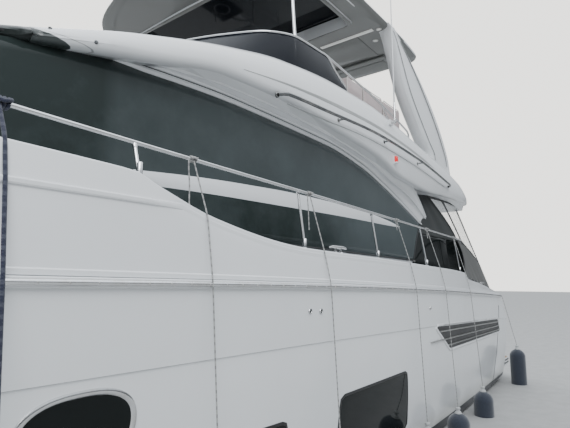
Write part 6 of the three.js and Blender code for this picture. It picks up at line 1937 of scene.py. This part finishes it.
def wet_bar():
    """A cabinet on the flybridge with three doors, a dark worktop, a sink and a lidded grill; and the
    same kind of top on the galley."""
    dress("wet_bar_cabinet", [rounded_box((-5.60, -1.93, FLY_FOOT), (-4.20, -1.352, 4.695), 0.025)], WHITE,
          stands_for=["wet_bar"])
    leaves = [face_plate((x, -1.352, 4.24), (-1, 0, 0), (0, 0, 1), block(0.42, 0.74, (0, 0), 0.03), 0.006)
              for x in (-5.36, -4.90, -4.44)]
    dress("wet_bar_doors", leaves, WHITE)
    pulls = [tube([(x - 0.16, -1.345, 4.55), (x - 0.16, -1.325, 4.55), (x - 0.05, -1.325, 4.55),
                   (x - 0.05, -1.345, 4.55)], 0.006, 10)
             for x in (-5.36 + 0.1, -4.90 + 0.1, -4.44 + 0.1)]
    tops = [rounded_box((-5.60, -1.93, 4.692), (-4.20, -1.350, 4.722), 0.010, 4),
            rounded_box((-5.20, -1.78, 2.518), (-2.60, -1.18, 2.546), 0.010, 4),
            rounded_box((-1.90, -1.78, 2.348), (-0.90, -1.18, 2.374), 0.010, 4)]
    dress("worktops", tops, DASH)
    bowl = [(0.165, 0.0), (0.165, 0.007), (0.150, 0.008), (0.138, 0.002)]
    steel = pulls + [turned(bowl, (-5.28, -1.64, 4.720), sides=36),
                     turned(bowl, (-4.6, -1.48, 2.544), sides=36)]
    for x, y, z in ((-5.28, -1.84, 4.720), (-4.6, -1.70, 2.544)):
        steel.append(tube(along([(x, y, z), (x, y, z + 0.16), (x, y + 0.04, z + 0.21),
                                 (x, y + 0.12, z + 0.21), (x, y + 0.14, z + 0.17)], 30), 0.009, 12))
        steel.append(turned([(0.022, 0.0), (0.022, 0.01), (0.012, 0.02)], (x, y, z), sides=18))
    steel.append(rounded_box((-4.82, -1.86, 4.720), (-4.32, -1.44, 4.800), 0.035, 6))
    steel.append(tube([(-4.74, -1.435, 4.765), (-4.74, -1.405, 4.765), (-4.40, -1.405, 4.765),
                       (-4.40, -1.435, 4.765)], 0.008, 10))
    dress("sink_and_grill", steel, STEEL_DULL)


def stern_fittings():
    """The garage door with its raised panel, hinge and catches, caps on the gates, and the rubber
    edge of the bathing platform."""
    leaf = rounded_box((-9.616, -1.20, 0.56), (-9.566, 1.20, 1.430), 0.014)
    panel = face_plate((-9.616, 0, 1.0), (0, -1, 0), (0, 0, 1), block(2.16, 0.66, (0, 0), 0.08), 0.006)
    dress("garage_door_leaf", [leaf, panel], WHITE, "garage_door", ["garage_door"])
    steel = [rod((-9.572, -1.15, 1.44), (-9.572, 1.15, 1.44), 0.0115, 14)]
    for y in (-0.8, 0.8):
        steel.append(face_plate((-9.616, y, 0.66), (0, -1, 0), (0, 0, 1), block(0.10, 0.05, (0, 0), 0.015),
                                0.010))
        steel.append(rounded_box((-9.585, y - 0.05, 1.38), (-9.560, y + 0.05, 1.436), 0.004, 3))
    dress("garage_door_fittings", steel, STEEL, "garage_door")
    cap = [rounded_box((-9.038, 1.372, 2.030), (-9.012, 1.866, 2.048), 0.006, 3),
           rod((-9.042, 1.40, 1.90), (-9.008, 1.40, 1.90), 0.018, 16)]
    for name, part in sided(cap):
        dress("gate_cap_" + name, part, STEEL, "gate_" + name)
    plan = [(-10.11, 2.29), (-10.40, 2.29), (-10.54, 2.20), (-10.60, 2.00), (-10.60, -2.00),
            (-10.54, -2.20), (-10.40, -2.29), (-10.11, -2.29)]
    for z in (0.345, 0.405):
        edge = along([(x, y, z) for x, y in plan], 180)
        dress("platform_edge_%d" % round(z * 1000), [tube(edge, 0.013, 10)], SEAL)


def cleat(x):
    """A mooring cleat on the bulwark's cap: two posts and a bar with drooping, narrowing horns."""
    y, z = float(beam_at(x)) - 0.10, float(bulwark_top(x))
    bar = tube(along([(x - 0.15, y, z + 0.052), (x - 0.09, y, z + 0.060), (x, y, z + 0.058),
                      (x + 0.09, y, z + 0.060), (x + 0.15, y, z + 0.052)], 17),
               0.008 + 0.009 * np.sin(np.linspace(0.15, np.pi - 0.15, 17)), 12)
    posts = [turned([(0.028, -0.003), (0.028, 0.004), (0.015, 0.014), (0.013, 0.060)], (x + d, y, z),
                    sides=16) for d in (-0.05, 0.05)]
    return [bar] + posts


def foredeck_fittings():
    """Cleats round the deck, the hatch in its frame, and the windlass drum with the chain from it
    to the roller."""
    dress("cleats", both(*[p for x in (-8.35, -2.85, 3.4, 8.1) for p in cleat(x)]), STEEL)
    dress("foredeck_hatch_pane", [rounded_box((6.515, -0.265, 2.768), (7.045, 0.265, 2.7985), 0.008, 4)],
          HULL_GLASS, "foredeck_hatch", ["foredeck_hatch"])
    rim = evenly(rounded(rectangle(6.497, 7.063, -0.283, 0.283), 0.05), 90)
    parts = [hoop(np.insert(rim, 2, 2.782, 1), 0.0160, 10),
             rod((7.088, -0.22, 2.7685), (7.088, 0.22, 2.7685), 0.0078, 12)]
    parts += [rounded_box((7.055, y - 0.04, 2.768), (7.090, y + 0.04, 2.778), 0.003, 2)
              for y in (-0.16, 0.16)]
    dress("foredeck_hatch_frame", parts, STEEL_DULL, "foredeck_hatch")
    z = float(sheer_at(8.85))
    drum = turned([(0.110, 0.092), (0.112, 0.104), (0.097, 0.122), (0.095, 0.19), (0.108, 0.222),
                   (0.108, 0.238), (0.090, 0.256), (0.03, 0.262)], (8.65, 0, z), sides=36)
    a = np.linspace(0, 2 * np.pi, 12, endpoint=False)
    links = []
    for i in range(36):
        c = mix(np.array([8.80, 0, z + 0.105]), np.array([10.50, 0, 2.806]), i / 35)
        c[2] = np.interp(c[0], [8.80, 9.85, 10.6], [z + 0.098, 2.806, 2.806])
        wide = [0.012 * np.sin(a), 0 * a] if i % 2 else [0 * a, 0.012 * np.sin(a)]
        links.append(hoop(c + np.column_stack([0.030 * np.cos(a), *wide]), 0.0055, 6))
    dress("windlass_and_chain", [drum] + links, STEEL)
    xs = np.array([3.2, 4.0, 4.8, 5.6])
    ys = np.interp(xs, [3.0, 4.0, 5.5, 6.3], [1.40, 1.34, 1.12, 0.96])
    sides = both(tube(along([(x, y, 2.80) for x, y in zip(xs, ys)], 40), 0.013, 12))
    feet = both(*[rod((x, y, 2.66), (x, y, 2.80), 0.010, 12) for x, y in zip(xs, ys)])
    dress("coachroof_grab_rails", sides + feet, STEEL)


# Setting
def camera():
    """The view from the dock: aft along the port side and slightly up."""
    turn, rise = math.radians(EYE_TURN), math.radians(EYE_RISE)
    level = np.array([-math.cos(turn), -math.sin(turn), 0.0])
    ahead = level * math.cos(rise) + np.array([0, 0, math.sin(rise)])
    right = np.cross(level, [0, 0, 1.0])
    up = np.cross(right, ahead)
    data = bpy.data.cameras.new("dock_view")
    data.lens = EYE_LENS
    data.sensor_width = 36.0
    data.clip_end = 500.0
    eye = bpy.data.objects.new("dock_view", data)
    bpy.context.scene.collection.objects.link(eye)
    eye.rotation_euler = Matrix(np.column_stack([right, up, -ahead]).tolist()).to_euler()
    eye.location = EYE
    bpy.context.scene.camera = eye


def area_light(name, spot, aim, size, power, colour=(1, 1, 1)):
    """One rectangular lamp that looks at a point."""
    data = bpy.data.lights.new(name, "AREA")
    data.shape = "RECTANGLE"
    data.size, data.size_y = size
    data.energy = power
    data.color = colour
    lamp = bpy.data.objects.new(name, data)
    bpy.context.scene.collection.objects.link(lamp)
    lamp.location = spot
    lamp.rotation_euler = (Vector(aim) - Vector(spot)).to_track_quat("-Z", "Y").to_euler()


def setting():
    """Studio: a sky that is bright overhead and dims towards the horizon, a pale plain backdrop for
    the camera, two soft lights and a pale floor at the waterline."""
    world = bpy.data.worlds.new("studio")
    bpy.context.scene.world = world
    world.use_nodes = True
    tree = world.node_tree
    sky = tree.nodes["Background"]
    sky.inputs["Color"].default_value = (0.90, 0.95, 1.0, 1)
    height = tree.nodes.new("ShaderNodeSeparateXYZ")
    tree.links.new(tree.nodes.new("ShaderNodeTexCoord").outputs["Generated"], height.inputs[0])
    rise = tree.nodes.new("ShaderNodeMapRange")
    for socket, value in (("From Min", 0.12), ("From Max", 0.85), ("To Min", 0.13), ("To Max", 2.4)):
        rise.inputs[socket].default_value = value
    tree.links.new(height.outputs["Z"], rise.inputs["Value"])
    tree.links.new(rise.outputs[0], sky.inputs["Strength"])
    backdrop = tree.nodes.new("ShaderNodeBackground")
    backdrop.inputs["Color"].default_value = (1.0, 0.985, 0.94, 1)
    backdrop.inputs["Strength"].default_value = 2.35
    choose = tree.nodes.new("ShaderNodeMixShader")
    tree.links.new(tree.nodes.new("ShaderNodeLightPath").outputs["Is Camera Ray"], choose.inputs[0])
    tree.links.new(sky.outputs[0], choose.inputs[1])
    tree.links.new(backdrop.outputs[0], choose.inputs[2])
    tree.links.new(choose.outputs[0], tree.nodes["World Output"].inputs["Surface"])
    area_light("key", (13, 15, 17), (2, 0, 4), (13, 10), 3500, (0.96, 0.98, 1.0))
    area_light("back", (-6, -24, 18), (-2, 0, 2), (26, 12), 2000)
    floor = put_mesh("floor", [(-90, -90, 0), (90, -90, 0), (90, 90, 0), (-90, 90, 0)], [(0, 1, 2, 3)],
                     plastic("pale_floor", (0.36, 0.36, 0.355), 0.6, grain=3.0))


for step in (camera, fenders, hull_skin, rubbing_strake, bulwark, hull_openings, glazing, sill_bands,
             head_mouldings, fly_skin, fly_trim, fly_screen, fly_rails, arch_legs, guard_rail,
             canvas_enclosure, seats, sunpad, hardtop_skin, hardtop_fittings, sunroof, mast, wheels, helms,
             doors, stairs, tables, wet_bar, stern_fittings, foredeck_fittings):
    step()
clothe(WHITE, "side_deck_port", "side_deck_stbd", "deckhouse", "coachroof", "fly_console",
       "transom_gate_port", "transom_gate_stbd")
clothe(TOPSIDES, "hull")
clothe(DECKED, "stern", "swim_platform")
clothe(NONSKID, "foredeck", "flybridge", "stair_hatch")
clothe(STEEL, "anchor_gear", "shaft_port", "shaft_stbd", "trim_tab_port", "trim_tab_stbd", "fly_stairs")
clothe(WOOD, "galley_unit")
clothe(DASH, "lower_console")
clothe(BRONZE, "propeller_port", "propeller_stbd", "rudder_port", "rudder_stbd")
setting()
